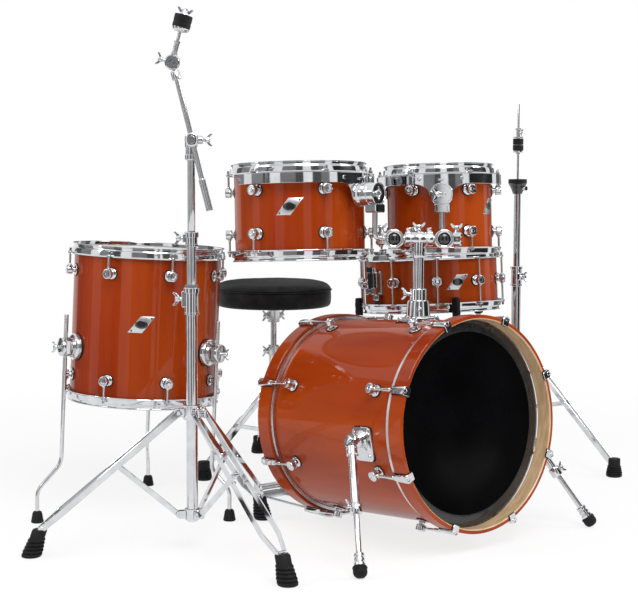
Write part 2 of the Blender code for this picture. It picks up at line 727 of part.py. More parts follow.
def add_tom_bracket(drum, angle, parent):
    """The suspension band of a rack tom, its plate, boss and arm clamp."""
    frame = drum.frame @ Matrix.Rotation(angle, 4, "Z")
    r, half = drum.radius, drum.depth / 2
    middle = half - BAND_DROP
    band = Shape()
    turns = [BAND_HALF_ANGLE * (k / 8 - 1) for k in range(17)]
    outline = [tuple(polar(r + BAND_OFFSET + BAND_THICK, turn).xy) for turn in turns]
    outline += [tuple(polar(r + BAND_OFFSET, turn).xy) for turn in reversed(turns)]
    band.plate(outline, BAND_HEIGHT, Matrix.Translation((0, 0, middle)))
    surface = r + BAND_OFFSET
    edge = [(reach / surface, half - BAND_DROP - drop) for reach, drop in APRON_EDGE]
    edge = [(-turn, low) for turn, low in reversed(edge[1:])] + edge
    apron = Shape().apron(edge, surface - 0.0005, surface + 0.0030, middle + BAND_HEIGHT / 2 - 0.0010)
    boss = Shape().rod((surface + 0.001, 0, BOSS_RISE), (r + ARM_STANDOFF + 0.0120, 0, BOSS_RISE),
                       BOSS_RADIUS, 18)
    clamp = Shape().box((r + ARM_STANDOFF, 0, BOSS_RISE - 0.0310), (0.0300, 0.0380, 0.0240))
    wing = Shape().plate(wing_outline(), 0.0050,
                         columns((0, 0, 1), (1, 0, 0), (r + ARM_STANDOFF + 0.0120, 0, BOSS_RISE)))
    tabs = Shape()
    tab_inner, tab_outer = r + ROD_REACH + ROD_WIDTH / 2 + GAP, r + BAND_OFFSET + BAND_THICK / 2
    for lug in drum.lug_angles:
        turn = math.remainder(lug - angle, math.tau)
        if abs(turn) < BAND_HALF_ANGLE:
            place = Matrix.Rotation(turn, 4, "Z")
            tabs.box(((tab_inner + tab_outer) / 2, 0, middle), (tab_outer - tab_inner, TAB_WIDTH, TAB_THICK),
                     place)
    up = frame.to_3x3().inverted() @ Vector((0, 0, 1))
    arm = Vector((r + ARM_STANDOFF, 0, 0))
    bore = Shape().rod(arm - up * 0.02, arm + up * 0.08, ARM_RADIUS + RUNNING, 12)
    build_node(f"{drum.name}_bracket", frame, CHROME, parent, [band, apron, boss, clamp, wing, tabs], [bore])


def tripod_shapes(angles, foot_radius, hub, collar, spacing, share, tube):
    """A fixed tripod as shapes: its tube, hub, collar and feet, its twin legs and its braces."""
    bottom, top, tube_radius = tube
    column = Shape().rod((0, 0, bottom), (0, 0, top), tube_radius, 14)
    solids, legs, braces = Shape(), Shape(), Shape()
    solids.rod((0, 0, hub - 0.014), (0, 0, hub + 0.014), 0.0220, 10)
    solids.rod((0, 0, collar - 0.010), (0, 0, collar + 0.010), 0.0200, 10)
    end_height = 0.036
    for degrees in angles:
        angle = math.radians(degrees)
        side = tangent_of(angle)
        start, end = polar(0.0160, angle, hub), polar(foot_radius - 0.006, angle, end_height)
        meet = start.lerp(end, share)
        solids.rod(polar(foot_radius, angle), polar(foot_radius, angle, FOOT_HEIGHT), FOOT_BASE_RADIUS, 8,
                   FOOT_TOP_RADIUS)
        near = spacing + (0.0060 - spacing) * share
        solids.rod(meet - side * (near + 0.004), meet + side * (near + 0.004), 0.0040, 6)
        for hand in (-1, 1):
            legs.bar(start + side * hand * spacing, end + side * hand * 0.0060, STRIP_WIDTH, STRIP_THICK,
                     side)
        braces.bar(polar(0.0150, angle, collar), meet, BRACE_WIDTH, 0.0050, side)
    return [column, solids, legs, braces]


def build_snare(root):
    """The snare drum on its tilting basket, the stand's tube and its tripod."""
    up = SNARE.frame.to_3x3() @ Vector((0, 0, 1))
    pivot = Vector(SNARE.middle) - up * SNARE_PIVOT_DROP
    axis_place = Vector((pivot.x, pivot.y, 0))
    shapes = tripod_shapes(SNARE_FEET, SNARE_FEET_RADIUS, SNARE_HUB, 0.1150, 0.0090, 0.5,
                           (0.090, 0.262, OUTER_TUBE))
    collar = Shape().rod((0, 0, 0.252), (0, 0, 0.286), 0.0165, 14)
    wing = Shape().plate(wing_outline(), 0.0050, columns((0, 0, 1), (0, -1, 0), (0, -0.0165, 0.269)))
    bore = Shape().rod((0, 0, 0.100), (0, 0, 0.30), INNER_TUBE + RUNNING, 12)
    build_node("snare_stand_tripod", Matrix.Translation(axis_place), CHROME, root, shapes + [collar, wing],
               [bore])

    slide = empty_at("joint_snare_stand_slide", axis_place + Vector((0, 0, 0.286)), root)
    tube = Shape().rod((0, 0, 0.150 - pivot.z), (0, 0, -0.024), INNER_TUBE, 12)
    fork = [(-0.0215, -0.0320), (0.0095, -0.0320), (0.0095, -0.0200), (-0.0095, -0.0200), (-0.0095, 0.0090),
            (-0.0215, 0.0090)]
    cheek = Shape().plate(fork, 0.0240, columns((1, 0, 0), (0, 0, 1), (0, 0, 0)))
    pin = Shape().rod((-0.0155, 0, 0), (0.0100, 0, 0), 0.0050, 12)
    build_node("snare_stand_tube", Matrix.Translation(pivot), CHROME, slide, [tube, cheek, pin])

    tilt = empty_at("joint_snare_tilt", pivot, slide)
    d = SNARE_PIVOT_DROP
    eye = Shape().rod((-0.0080, 0, -d), (0.0080, 0, -d), 0.0120, 14)
    neck = Shape().rod((0, 0, 0.006 - d), (0, 0, 0.018 - d), 0.0070, 10)
    hub = Shape().rod((0, 0, 0.0145 - d), (0, 0, 0.0380 - d), 0.0200, 14)
    grip = SNARE.radius + HOOP_LIP + GRIP_GAP + GRIP_RADIUS
    arms, grips = Shape(), Shape()
    for degrees in SNARE_ARM_ANGLES:
        angle = math.radians(degrees)
        low = 0.030 - d
        points = [polar(0.0120, angle, low), polar(grip, angle, low), polar(grip, angle, -0.0600)]
        arms.path(rounded_path(points, 0.030), BASKET_WIRE, 1)
        grips.rod(polar(grip, angle, -0.1010), polar(grip, angle, -0.0410), GRIP_RADIUS, 10)
    hole = Shape().rod((-0.02, 0, -d), (0.02, 0, -d), 0.0050 + RUNNING, 12)
    build_node("snare_basket", SNARE.frame, CHROME, tilt, [eye, neck, hub, arms, grips], [hole])

    shell, _ = add_drum(SNARE, tilt)
    r = SNARE.radius
    turn = Matrix.Rotation(THROW_OFF_ANGLE, 4, "Z")
    block, ears = Shape(), Shape()
    block.box((r + 0.0090, 0, 0), (0.0240, 0.0320, 0.0640), turn)
    for hand in (-1, 1):
        ears.box((r + 0.0280, hand * 0.0120, -0.0200), (0.0200, 0.0050, 0.0180), turn)
    lever_pin = Shape().rod(turn @ Vector((r + 0.0310, -0.0120, -0.0200)),
                            turn @ Vector((r + 0.0310, 0.0120, -0.0200)), 0.0025, 8)
    for shape in (block, ears, lever_pin):
        combine(shell, shape, "UNION")
    place = SNARE.frame @ turn @ Vector((r + 0.0310, 0, -0.0200))
    lever_joint = empty_at("joint_throw_off", place, tilt)
    bar = Shape().box((r + 0.0310, 0, 0.0125), (0.0060, 0.0160, 0.0650), turn)
    eye = Shape().rod(turn @ Vector((r + 0.0310, -0.0085, -0.0200)),
                      turn @ Vector((r + 0.0310, 0.0085, -0.0200)),
                      0.0070, 12)
    gap = Shape().rod(turn @ Vector((r + 0.0310, -0.03, -0.0200)), turn @ Vector((r + 0.0310, 0.03, -0.0200)),
                      0.0025 + RUNNING, 10)
    build_node("throw_off_lever", SNARE.frame, CHROME, lever_joint, [bar, eye], [gap])

    face = -(SNARE.depth / 2 + 2 * GAP + HEAD_THICK)
    ends, strands = Shape(), Shape()
    for hand in (-1, 1):
        ends.box((hand * 0.1540, 0, face - 0.0012), (0.0200, 0.0440, 0.0018))
    for k in range(8):
        strands.box((0, (k - 3.5) * 0.0050, face - 0.0012), (0.3000, 0.0016, 0.0012))
    strip_turn = Matrix.Rotation(THROW_OFF_ANGLE, 4, "Z")
    build_node("snare_wires", SNARE.frame @ strip_turn, STEEL, tilt, [ends, strands])


def build_floor_tom(root):
    """The floor tom and its three sliding legs."""
    shell, _ = add_drum(FLOOR_TOM, root)
    r = FLOOR_TOM.radius
    leg_line = r + FLOOR_LEG_OFFSET
    discs, blocks, wings, bores = Shape(), Shape(), Shape(), Shape()
    for degrees in FLOOR_LEG_ANGLES:
        angle = math.radians(degrees)
        turn = Matrix.Rotation(angle, 4, "Z") @ Matrix.Translation((0, 0, -FLOOR_BRACKET_DROP))
        discs.rod(turn @ Vector((r - 0.0045, 0, 0)), turn @ Vector((r + 0.0150, 0, 0)), 0.0320, 16)
        blocks.box((leg_line - 0.0010, 0, 0), (0.0340, 0.0240, 0.0380), turn)
        frame = turn @ columns((0, 0, 1), (1, 0, 0), (leg_line + 0.016, 0, 0))
        wings.plate(wing_outline(), 0.0050, frame)
        bores.rod(turn @ Vector((leg_line, 0, -0.03)), turn @ Vector((leg_line, 0, 0.03)),
                  FLOOR_LEG_RADIUS + RUNNING, 12)
    for shape in (discs, blocks, wings):
        combine(shell, shape, "UNION")
    combine(shell, bores, "DIFFERENCE")
    for number, degrees in enumerate(FLOOR_LEG_ANGLES, 1):
        angle = math.radians(degrees)
        clamp = FLOOR_TOM.frame @ polar(leg_line, angle, -FLOOR_BRACKET_DROP)
        joint = empty_at(f"joint_floor_tom_leg_{number}", clamp, root)
        foot = Vector((*FLOOR_TOM.middle[:2], 0)) + Vector((*FLOOR_FEET[number - 1], 0))
        points = [FLOOR_TOM.frame @ polar(leg_line, angle, FLOOR_LEG_TOP),
                  FLOOR_TOM.frame @ polar(leg_line, angle, FLOOR_LEG_BEND - FLOOR_TOM.middle[2]),
                  foot + Vector((0, 0, FLOOR_LEG_STRAIGHT)), foot + Vector((0, 0, 0.008))]
        path = [point - clamp for point in rounded_path(points, 0.018)]
        leg = Shape().path(path, FLOOR_LEG_RADIUS, 1)
        pad = foot - clamp
        rubber = Shape().rod(pad, pad + Vector((0, 0, 0.028)), 0.0150, 12)
        build_node(f"floor_tom_leg_{number}", Matrix.Translation(clamp), CHROME, joint, [leg, rubber])


def build_throne(root):
    """The round throne: tripod, post and cushion."""
    place = Matrix.Translation(THRONE_PLACE)
    shapes = tripod_shapes(THRONE_FEET, THRONE_FEET_RADIUS, THRONE_HUB, 0.1100, 0.0100, 0.5,
                           (0.085, THRONE_TUBE_TOP - 0.006, OUTER_TUBE))
    collar = Shape().rod((0, 0, THRONE_TUBE_TOP - 0.030), (0, 0, THRONE_TUBE_TOP), 0.0160, 14)
    wing = Shape().plate(wing_outline(), 0.0050, columns((0, 0, 1), (-1, 0, 0),
                                                         (-0.0160, 0, THRONE_TUBE_TOP - 0.015)))
    bore = Shape().rod((0, 0, 0.095), (0, 0, 0.40), THRONE_POST_RADIUS + RUNNING, 12)
    build_node("throne_tripod", place, CHROME, root, shapes + [collar, wing], [bore])
    slide = empty_at("joint_throne_slide", place @ Vector((0, 0, THRONE_TUBE_TOP)), root)
    post = Shape().rod((0, 0, 0.160), (0, 0, SEAT_BOTTOM - 0.012), THRONE_POST_RADIUS, 12)
    build_node("throne_post", place, CHROME, slide, [post])
    turn = empty_at("joint_throne_turn", place @ Vector((0, 0, SEAT_BOTTOM)), slide)
    r, low, high = SEAT_RADIUS, SEAT_BOTTOM, SEAT_TOP
    profile = [(0, high), (r * 0.60, high - 0.001), (r - 0.028, high - 0.006), (r - 0.008, high - 0.018),
               (r, high - 0.034), (r, low + 0.012), (r - 0.006, low), (0, low)]
    seat = turned_node("throne_seat", profile, 28, place, VINYL, turn, closed=False)
    socket = Shape().rod((0, 0, low - 0.045), (0, 0, low - 0.006), 0.0170, 14)
    plate = Shape().rod((0, 0, low - 0.008), (0, 0, low + 0.010), 0.0600, 16)
    wings = Shape()
    for hand in (-1, 1):
        wings.plate(wing_outline(), 0.0050, columns((0, 0, 1), (hand, 0, 0), (hand * 0.017, 0, low - 0.026)))
    hole = Shape().rod((0, 0, low - 0.06), (0, 0, low - 0.012 + GAP), THRONE_POST_RADIUS + RUNNING, 12)
    for shape in (plate, socket, wings):
        combine(seat, shape, "UNION")
    combine(seat, hole, "DIFFERENCE")


def build_cymbal_stand(root):
    """The boom stand: folding tripod, three tubes, the boom and its tilter."""
    place = Matrix.Translation(CYMBAL_PLACE)
    tube = Shape().rod((0, 0, 0.069), (0, 0, CYMBAL_COLLAR_TOP - 0.010), OUTER_TUBE, 16)
    collars, ears, pins = Shape(), Shape(), Shape()
    collars.rod((0, 0, CYMBAL_COLLAR_TOP - 0.060), (0, 0, CYMBAL_COLLAR_TOP), 0.0180, 16)
    collars.rod((0, 0, BRACE_PIVOT_HEIGHT - 0.012), (0, 0, BRACE_PIVOT_HEIGHT + 0.012), 0.0180, 16)
    for degrees in CYMBAL_FEET:
        angle = math.radians(degrees)
        side = tangent_of(angle)
        for hand in (-1, 1):
            middle = polar(0.0255, angle, BRACE_PIVOT_HEIGHT) + side * hand * 0.0070
            ears.bar(middle - Vector((0, 0, 0.008)), middle + Vector((0, 0, 0.008)), 0.0220, 0.0040, side)
        end = polar(PIVOT_RADIUS, angle, BRACE_PIVOT_HEIGHT)
        pins.rod(end - side * 0.0070, end + side * 0.0070, 0.0025, 8)
    left = polar(-1, CLAMP_BAR_ANGLE)
    wing = Shape().plate(wing_outline(0.006), 0.0050,
                         columns((0, 0, 1), left, left * 0.018 + Vector((0, 0, CYMBAL_COLLAR_TOP - 0.022))))
    bore = Shape().rod((0, 0, 0.300), (0, 0, 0.70), MIDDLE_TUBE_RADIUS + GAP, 16)
    build_node("cymbal_base_tube", place, CHROME, root, [tube, collars, ears, pins, wing], [bore])

    hub_joint = empty_at("joint_cymbal_fold", place @ Vector((0, 0, LEG_PIVOT_HEIGHT)), root)
    hub = Shape().rod((0, 0, LEG_PIVOT_HEIGHT - 0.016), (0, 0, LEG_PIVOT_HEIGHT + 0.016), 0.0195, 16)
    lugs = Shape()
    for degrees in CYMBAL_FEET:
        angle = math.radians(degrees)
        turn = Matrix.Rotation(angle, 4, "Z")
        lugs.box((0.0275, 0, LEG_PIVOT_HEIGHT), (0.0230, 0.0220, 0.0200), turn)
    holes = Shape().rod((0, 0, LEG_PIVOT_HEIGHT - 0.03), (0, 0, LEG_PIVOT_HEIGHT + 0.03),
                        OUTER_TUBE + RUNNING, 16)
    pin_holes = Shape()
    for degrees in CYMBAL_FEET:
        angle = math.radians(degrees)
        end = polar(PIVOT_RADIUS, angle, LEG_PIVOT_HEIGHT)
        side = tangent_of(angle)
        pin_holes.rod(end - side * 0.03, end + side * 0.03, 0.0035 + RUNNING, 10)
    build_node("cymbal_leg_hub", place, CHROME, hub_joint, [hub, lugs], [holes, pin_holes])
    for number, degrees in enumerate(CYMBAL_FEET, 1):
        add_folding_leg(number, math.radians(degrees), place, hub_joint, root)
    add_boom_column(place, root)


def add_folding_leg(number, angle, place, hub_joint, root):
    """One leg of the cymbal stand, hung from the sliding hub, and its brace."""
    out, side = polar(1, angle), tangent_of(angle)
    down = out * math.sin(LEG_ANGLE) - Vector((0, 0, math.cos(LEG_ANGLE)))
    top = polar(PIVOT_RADIUS, angle, LEG_PIVOT_HEIGHT)
    joint = empty_at(f"joint_cymbal_leg_{number}", place @ top, hub_joint)
    strips, ends, pin, foot, bar = Shape(), Shape(), Shape(), Shape(), Shape()
    end = down * LEG_LENGTH
    for hand in (-1, 1):
        knee = end * LEG_KNEE + side * hand * LEG_KNEE_SPACING
        strips.bar(side * hand * LEG_SPACING - down * 0.006, knee, STRIP_WIDTH, STRIP_THICK, side)
        ends.bar(knee - down * 0.003, end + side * hand * LEG_END_SPACING, STRIP_WIDTH - 0.0010,
                 STRIP_THICK, side)
    pin.rod(side * -(LEG_SPACING + 0.003), side * (LEG_SPACING + 0.003), 0.0035, 10)
    foot.cone(out, end + Vector((0, 0, 0.002)), FOOT_TOP_RADIUS, end + Vector((0, 0, -LEG_END_HEIGHT))
              + out * LEG_FOOT_REACH, FOOT_BASE_RADIUS)
    bar.rod(end - down * 0.004 - side * 0.013, end - down * 0.004 + side * 0.013, 0.0060, 10)
    build_node(f"cymbal_leg_{number}", place @ Matrix.Translation(top), CHROME, joint,
               [strips, ends, pin, bar, foot])
    base = polar(PIVOT_RADIUS, angle, BRACE_PIVOT_HEIGHT)
    brace_joint = empty_at(f"joint_cymbal_brace_{number}", place @ base, root)
    rise = out * math.sin(LEG_ANGLE) + Vector((0, 0, math.cos(LEG_ANGLE)))
    far = rise * BRACE_LENGTH
    blade = Shape().bar(-rise * 0.0045, far + rise * 0.005, BRACE_WIDTH, BRACE_THICK, side)
    cross = Shape().rod(far - side * 0.0105, far + side * 0.0105, 0.0030, 8)
    hole = Shape().rod(side * -0.03, side * 0.03, 0.0025 + RUNNING, 8)
    build_node(f"cymbal_brace_{number}", place @ Matrix.Translation(base), CHROME, brace_joint,
               [blade, cross], [hole])


def add_boom_column(place, root):
    """The two upper tubes, the boom clamp, the boom and the tilter with its felt and nut."""
    left = polar(-1, CLAMP_BAR_ANGLE)
    near = Vector((left.y, -left.x, 0)) * -1
    slide = empty_at("joint_cymbal_middle_slide", place @ Vector((0, 0, CYMBAL_COLLAR_TOP)), root)
    top = MIDDLE_TUBE_TOP
    tube = Shape().rod((0, 0, 0.420), (0, 0, top - 0.006), MIDDLE_TUBE_RADIUS, 16)
    collar = Shape().rod((0, 0, top - 0.032), (0, 0, top), 0.0155, 16)
    wing = Shape().plate(wing_outline(), 0.0050, columns((0, 0, 1), left,
                                                         left * 0.0155 + Vector((0, 0, top - 0.016))))
    bore = Shape().rod((0, 0, 0.560), (0, 0, top + 0.05), UPPER_TUBE_RADIUS + GAP, 14)
    build_node("cymbal_middle_tube", place, CHROME, slide, [tube, collar, wing], [bore])
    upper = empty_at("joint_cymbal_upper_slide", place @ Vector((0, 0, top)), slide)
    shaft = Shape().rod((0, 0, 0.640), (0, 0, UPPER_TUBE_TOP), UPPER_TUBE_RADIUS, 14)
    pivot = Vector((0, 0, BOOM_PIVOT_HEIGHT))
    block = Shape().rod((0, 0, UPPER_TUBE_TOP - 0.014), (0, 0, BOOM_PIVOT_HEIGHT + 0.011), 0.0140, 14)
    cross = Shape().rod(pivot, pivot - left * 0.0260, 0.0095, 12)
    bolt = Shape().plate(wing_outline(), 0.0050, columns((0, 0, 1), -left, pivot - left * 0.0260))
    swing = pivot - left * BOOM_SHIFT + near * BOOM_OFFSET
    pin = Shape().rod(swing - near * 0.0120, swing + near * 0.0130, 0.0060, 12)
    build_node("cymbal_upper_tube", place, CHROME, upper, [shaft, block, cross, bolt, pin])

    joint = empty_at("joint_boom_tilt", place @ swing, upper)
    world = Matrix.Translation(place @ swing)
    along = polar(1, CLAMP_BAR_ANGLE) * math.sin(BOOM_LEAN) + Vector((0, 0, math.cos(BOOM_LEAN)))
    hub = Shape().rod(near * -0.0050, near * 0.0090, 0.0150, 16)
    bar = Shape().rod(along * -BOOM_LOW, along * BOOM_HIGH, BOOM_RADIUS, 12)
    knurl = Shape().rod(along * -BOOM_LOW, along * -(BOOM_LOW - 0.070), 0.0075, 12)
    top_end = along * (BOOM_HIGH + 0.006)
    lug = Shape().rod(along * (BOOM_HIGH - 0.002), along * (BOOM_HIGH + 0.017), 0.0100, 12)
    swivel = along * (TILTER_RISE / along.z)
    stem = Shape().rod(top_end - along * 0.003, swivel, 0.0045, 10)
    pin = Shape().rod(swivel - near * 0.0100, swivel + near * 0.0140, 0.0045, 12)
    disc = Shape().rod(swivel - near * 0.0110, swivel + near * 0.0030, 0.0150, 14)
    hole = Shape().rod(near * -0.03, near * 0.03, 0.0060 + RUNNING, 12)
    build_node("cymbal_boom", world, CHROME, joint, [hub, bar, knurl, lug, stem, pin, disc], [hole])

    place_top = place @ (swing + swivel)
    tilt = empty_at("joint_cymbal_tilter", place_top, joint)
    eye = Shape().rod(near * 0.0055, near * 0.0150, 0.0160, 14)
    middle = near * 0.0100
    riser = Shape().rod(middle + Vector((0, 0, 0.009)), (middle.x, middle.y, 0.072), 0.0035, 10)
    sleeve = Shape().rod(middle + Vector((0, 0, 0.012)), (middle.x, middle.y, 0.046), 0.0060, 10)
    washer = Shape().rod((middle.x, middle.y, 0.0655), (middle.x, middle.y, 0.0740), FELT_RADIUS - 0.002, 16)
    felt = Shape().rod((middle.x, middle.y, 0.0735), (middle.x, middle.y, FELT_TOP), FELT_RADIUS, 18)
    nut = Shape().plate(wing_outline(-0.004), 0.0060, columns(left, (0, 0, 1),
                                                              (middle.x, middle.y, FELT_TOP)))
    bolt = Shape().plate(wing_outline(-0.002), 0.0050, columns((0, 0, 1), left, middle + left * 0.0150))
    hole = Shape().rod(near * -0.03, near * 0.03, 0.0045 + RUNNING, 12)
    build_node("cymbal_tilter", Matrix.Translation(place_top) @ Matrix.Rotation(-TILTER_LEAN, 4, near), FELT,
               tilt,
               [eye, riser, sleeve, washer, felt, nut, bolt], [hole])


def build_hihat_stand(root):
    """The hi-hat stand: tripod with pedal frame, upper tube with its cup, pull rod and pedal."""
    place = Matrix.Translation(HIHAT_PLACE)
    shapes = tripod_shapes(HIHAT_FEET, HIHAT_FEET_RADIUS, HIHAT_HUB, 0.1650, 0.0120, 0.5,
                           (0.105, HIHAT_TUBE_TOP - 0.010, OUTER_TUBE))
    turn = Matrix.Rotation(HIHAT_PEDAL_ANGLE, 4, "Z")
    collar, yoke, rails, heel, pin = Shape(), Shape(), Shape(), Shape(), Shape()
    collar.rod((0, 0, HIHAT_TUBE_TOP - 0.057), (0, 0, HIHAT_TUBE_TOP), 0.0170, 14)
    arch = [(-0.050, 0.0), (-0.042, 0.0), (-0.042, 0.100), (0.042, 0.100), (0.042, 0.0), (0.050, 0.0),
            (0.050, 0.112), (-0.050, 0.112)]
    yoke.plate(arch, 0.0160, turn @ columns((0, 1, 0), (0, 0, 1), (0, 0, 0)))
    for hand in (-1, 1):
        rails.box((HIHAT_HEEL / 2 + 0.010, hand * 0.0460, 0.0040), (HIHAT_HEEL + 0.030, 0.0080, 0.0060), turn)
        heel.box((HIHAT_HEEL, hand * 0.0440, 0.0180), (0.0240, 0.0060, 0.0340), turn)
    floor = Shape().box((HIHAT_HEEL, 0, 0.0050), (0.0500, 0.0980, 0.0100), turn)
    pin.rod(turn @ Vector((HIHAT_HEEL, -0.045, 0.026)), turn @ Vector((HIHAT_HEEL, 0.045, 0.026)), 0.0030, 10)
    bore = Shape().rod((0, 0, 0.300), (0, 0, 0.65), INNER_TUBE + RUNNING, 12)
    build_node("hihat_tripod", place, CHROME, root, shapes + [collar, yoke, rails, floor, heel, pin], [bore])

    slide = empty_at("joint_hihat_slide", place @ Vector((0, 0, HIHAT_TUBE_TOP)), root)
    tube = Shape().rod((0, 0, 0.440), (0, 0, HIHAT_CUP_BOTTOM + 0.010), INNER_TUBE, 14)
    cup = Shape().rod((0, 0, HIHAT_CUP_BOTTOM), (0, 0, HIHAT_CUP_TOP), 0.0130, 16, 0.0260)
    screw = Shape().rod((0, -0.010, HIHAT_CUP_BOTTOM + 0.016), (0, -0.034, HIHAT_CUP_BOTTOM + 0.016), 0.0045,
                        8)
    bore = Shape().rod((0, 0, 0.570), (0, 0, 0.90), HIHAT_ROD_RADIUS + RUNNING, 10)
    build_node("hihat_tube", place, CHROME, slide, [tube, cup, screw], [bore])
    pull = empty_at("joint_hihat_rod", place @ Vector((0, 0, HIHAT_CUP_TOP)), slide)
    rod = Shape().rod((0, 0, 0.620), (0, 0, HIHAT_ROD_TOP), HIHAT_ROD_RADIUS, 10)
    clutch = Shape().rod((0, 0, 0.8900), (0, 0, 0.9630), 0.0060, 12)
    felts = Shape()
    felts.rod((0, 0, 0.9000), (0, 0, 0.9340), 0.0150, 14)
    felts.rod((0, 0, 0.9440), (0, 0, 0.9570), 0.0100, 12)
    build_node("hihat_rod", place, CHROME, pull, [rod, clutch, felts])
    heel_place = place @ turn @ Vector((HIHAT_HEEL, 0, 0.026))
    press = empty_at("joint_hihat_pedal", heel_place, root)
    world = Matrix.Translation(heel_place) @ turn
    add_footboard("hihat_pedal", world, 0.0270, HIHAT_HEEL - 0.030, 0.056, 0.0030, press)


def add_footboard(name, world, heel_back, length, rise, pin_radius, parent):
    """A footboard from its heel hinge, running along -X and rising to its toe."""
    along = Vector((-length, 0, rise)).normalized()
    end = along * math.hypot(length, rise)
    board = Shape().bar(along * 0.0100, end, PEDAL_WIDTH, 0.0060, Vector((0, 1, 0)).cross(along))
    eye = Shape().rod((0, -PEDAL_WIDTH / 2, 0), (0, PEDAL_WIDTH / 2, 0), 0.0080, 12)
    neck = Shape().bar(along * 0.002, along * 0.030, PEDAL_WIDTH - 0.002, 0.0050,
                       Vector((0, 1, 0)).cross(along))
    hole = Shape().rod((0, -0.06, 0), (0, 0.06, 0), pin_radius + RUNNING, 10)
    build_node(name, world, CHROME, parent, [board, eye, neck], [hole])


def build_bass_pedal(root):
    """The bass drum pedal: frame, footboard and beater."""
    half = PEDAL_WIDTH / 2
    axle = Vector(PEDAL_AXLE)
    plate = Shape().box((0, 0.2560, 0.0042), (0.1040, 0.1020, 0.0084))
    posts, heel, wires, jaw = Shape(), Shape(), Shape(), Shape()
    for hand in (-1, 1):
        posts.box((hand * 0.0480, axle.y, (axle.z + 0.018) / 2 + 0.001), (0.0080, 0.0260, axle.z + 0.016))
        heel.box((hand * (half + 0.0050), PEDAL_HEEL, 0.0200), (0.0060, 0.0240, 0.0360))
        wires.box((hand * 0.0300, 0.3950, 0.0040), (0.0060, 0.2000, 0.0060))
    jaw.plate([(0.2150, 0.0225), (0.2480, 0.0215), (0.2480, 0.0040), (0.2620, 0.0040), (0.2620, 0.0330),
               (0.2150, 0.0330)], 0.0360, columns((0, 1, 0), (0, 0, 1), (0, 0, 0)))
    floor = Shape().box((0, PEDAL_HEEL, 0.0045), (0.0940, 0.0500, 0.0090))
    pin = Shape().rod((-half - 0.004, PEDAL_HEEL, PEDAL_HEEL_HEIGHT),
                      (half + 0.004, PEDAL_HEEL, PEDAL_HEEL_HEIGHT),
                      0.0030, 10)
    hole = Shape().rod(axle - Vector((0.07, 0, 0)), axle + Vector((0.07, 0, 0)), 0.0050 + RUNNING, 12)
    build_node("pedal_frame", Matrix.Identity(4), CHROME, root, [plate, posts, wires, floor, jaw, heel, pin],
               [hole])
    press = empty_at("joint_pedal_press", (0, PEDAL_HEEL, PEDAL_HEEL_HEIGHT), root)
    world = Matrix.Translation((0, PEDAL_HEEL, PEDAL_HEEL_HEIGHT)) @ Matrix.Rotation(math.pi / 2, 4, "Z")
    add_footboard("pedal_board", world, 0.0, PEDAL_HEEL - PEDAL_TOE, PEDAL_TOE_HEIGHT - PEDAL_HEEL_HEIGHT,
                  0.0030, press)
    swing = empty_at("joint_beater", axle, root)
    shaft = Shape().rod((-0.0520, 0, 0), (0.0520, 0, 0), 0.0050, 12)
    hub = Shape().rod((-0.0110, 0, 0), (0.0110, 0, 0), 0.0130, 14)
    up = Vector((0, math.sin(BEATER_REST), math.cos(BEATER_REST)))
    ahead = Vector((0, -math.cos(BEATER_REST), math.sin(BEATER_REST)))
    tip = up * BEATER_LENGTH
    arm = Shape().rod(up * 0.005, tip, 0.0035, 10)
    head = Shape().rod(tip - ahead * BEATER_THICK / 2, tip + ahead * BEATER_THICK / 2, BEATER_RADIUS, 16)
    build_node("pedal_beater", Matrix.Translation(axle), FELT, swing, [shaft, hub, arm, head])


def stand_on_floor(root):
    """Moves the kit so that the bottom centre of its bounds is the origin."""
    graph = bpy.context.evaluated_depsgraph_get()
    points = []
    for node in NODES:
        done = node.evaluated_get(graph)
        mesh = done.to_mesh()
        points += [done.matrix_world @ vertex.co for vertex in mesh.vertices]
        done.to_mesh_clear()
    low = Vector([min(point[axis] for point in points) for axis in range(3)])
    high = Vector([max(point[axis] for point in points) for axis in range(3)])
    root.location = (-(low.x + high.x) / 2, -(low.y + high.y) / 2, -low.z)


def main():
    root = empty_at("kit", (0, 0, 0))
    bass_frame = build_bass(root)
    arms = build_tom_mount(bass_frame, root)
    for drum, angle, arm in ((TOM12, TOM12_BRACKET_ANGLE, arms["left"]),
                             (TOM10, TOM10_BRACKET_ANGLE, arms["right"])):
        add_drum(drum, arm)
        add_tom_bracket(drum, angle, arm)
    build_snare(root)
    build_floor_tom(root)
    build_throne(root)
    build_cymbal_stand(root)
    build_hihat_stand(root)
    build_bass_pedal(root)
    stand_on_floor(root)


main()
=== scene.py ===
"""Looks of a five-piece jazz drum kit: lacquer, chrome, heads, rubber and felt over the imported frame."""

import json
import logging
from dataclasses import dataclass, field
from enum import Enum
from math import acos, copysign, cos, hypot, pi, radians, remainder, sin, tau
from typing import Callable, Iterable, Sequence

import bmesh
import bpy
from mathutils import Matrix, Vector

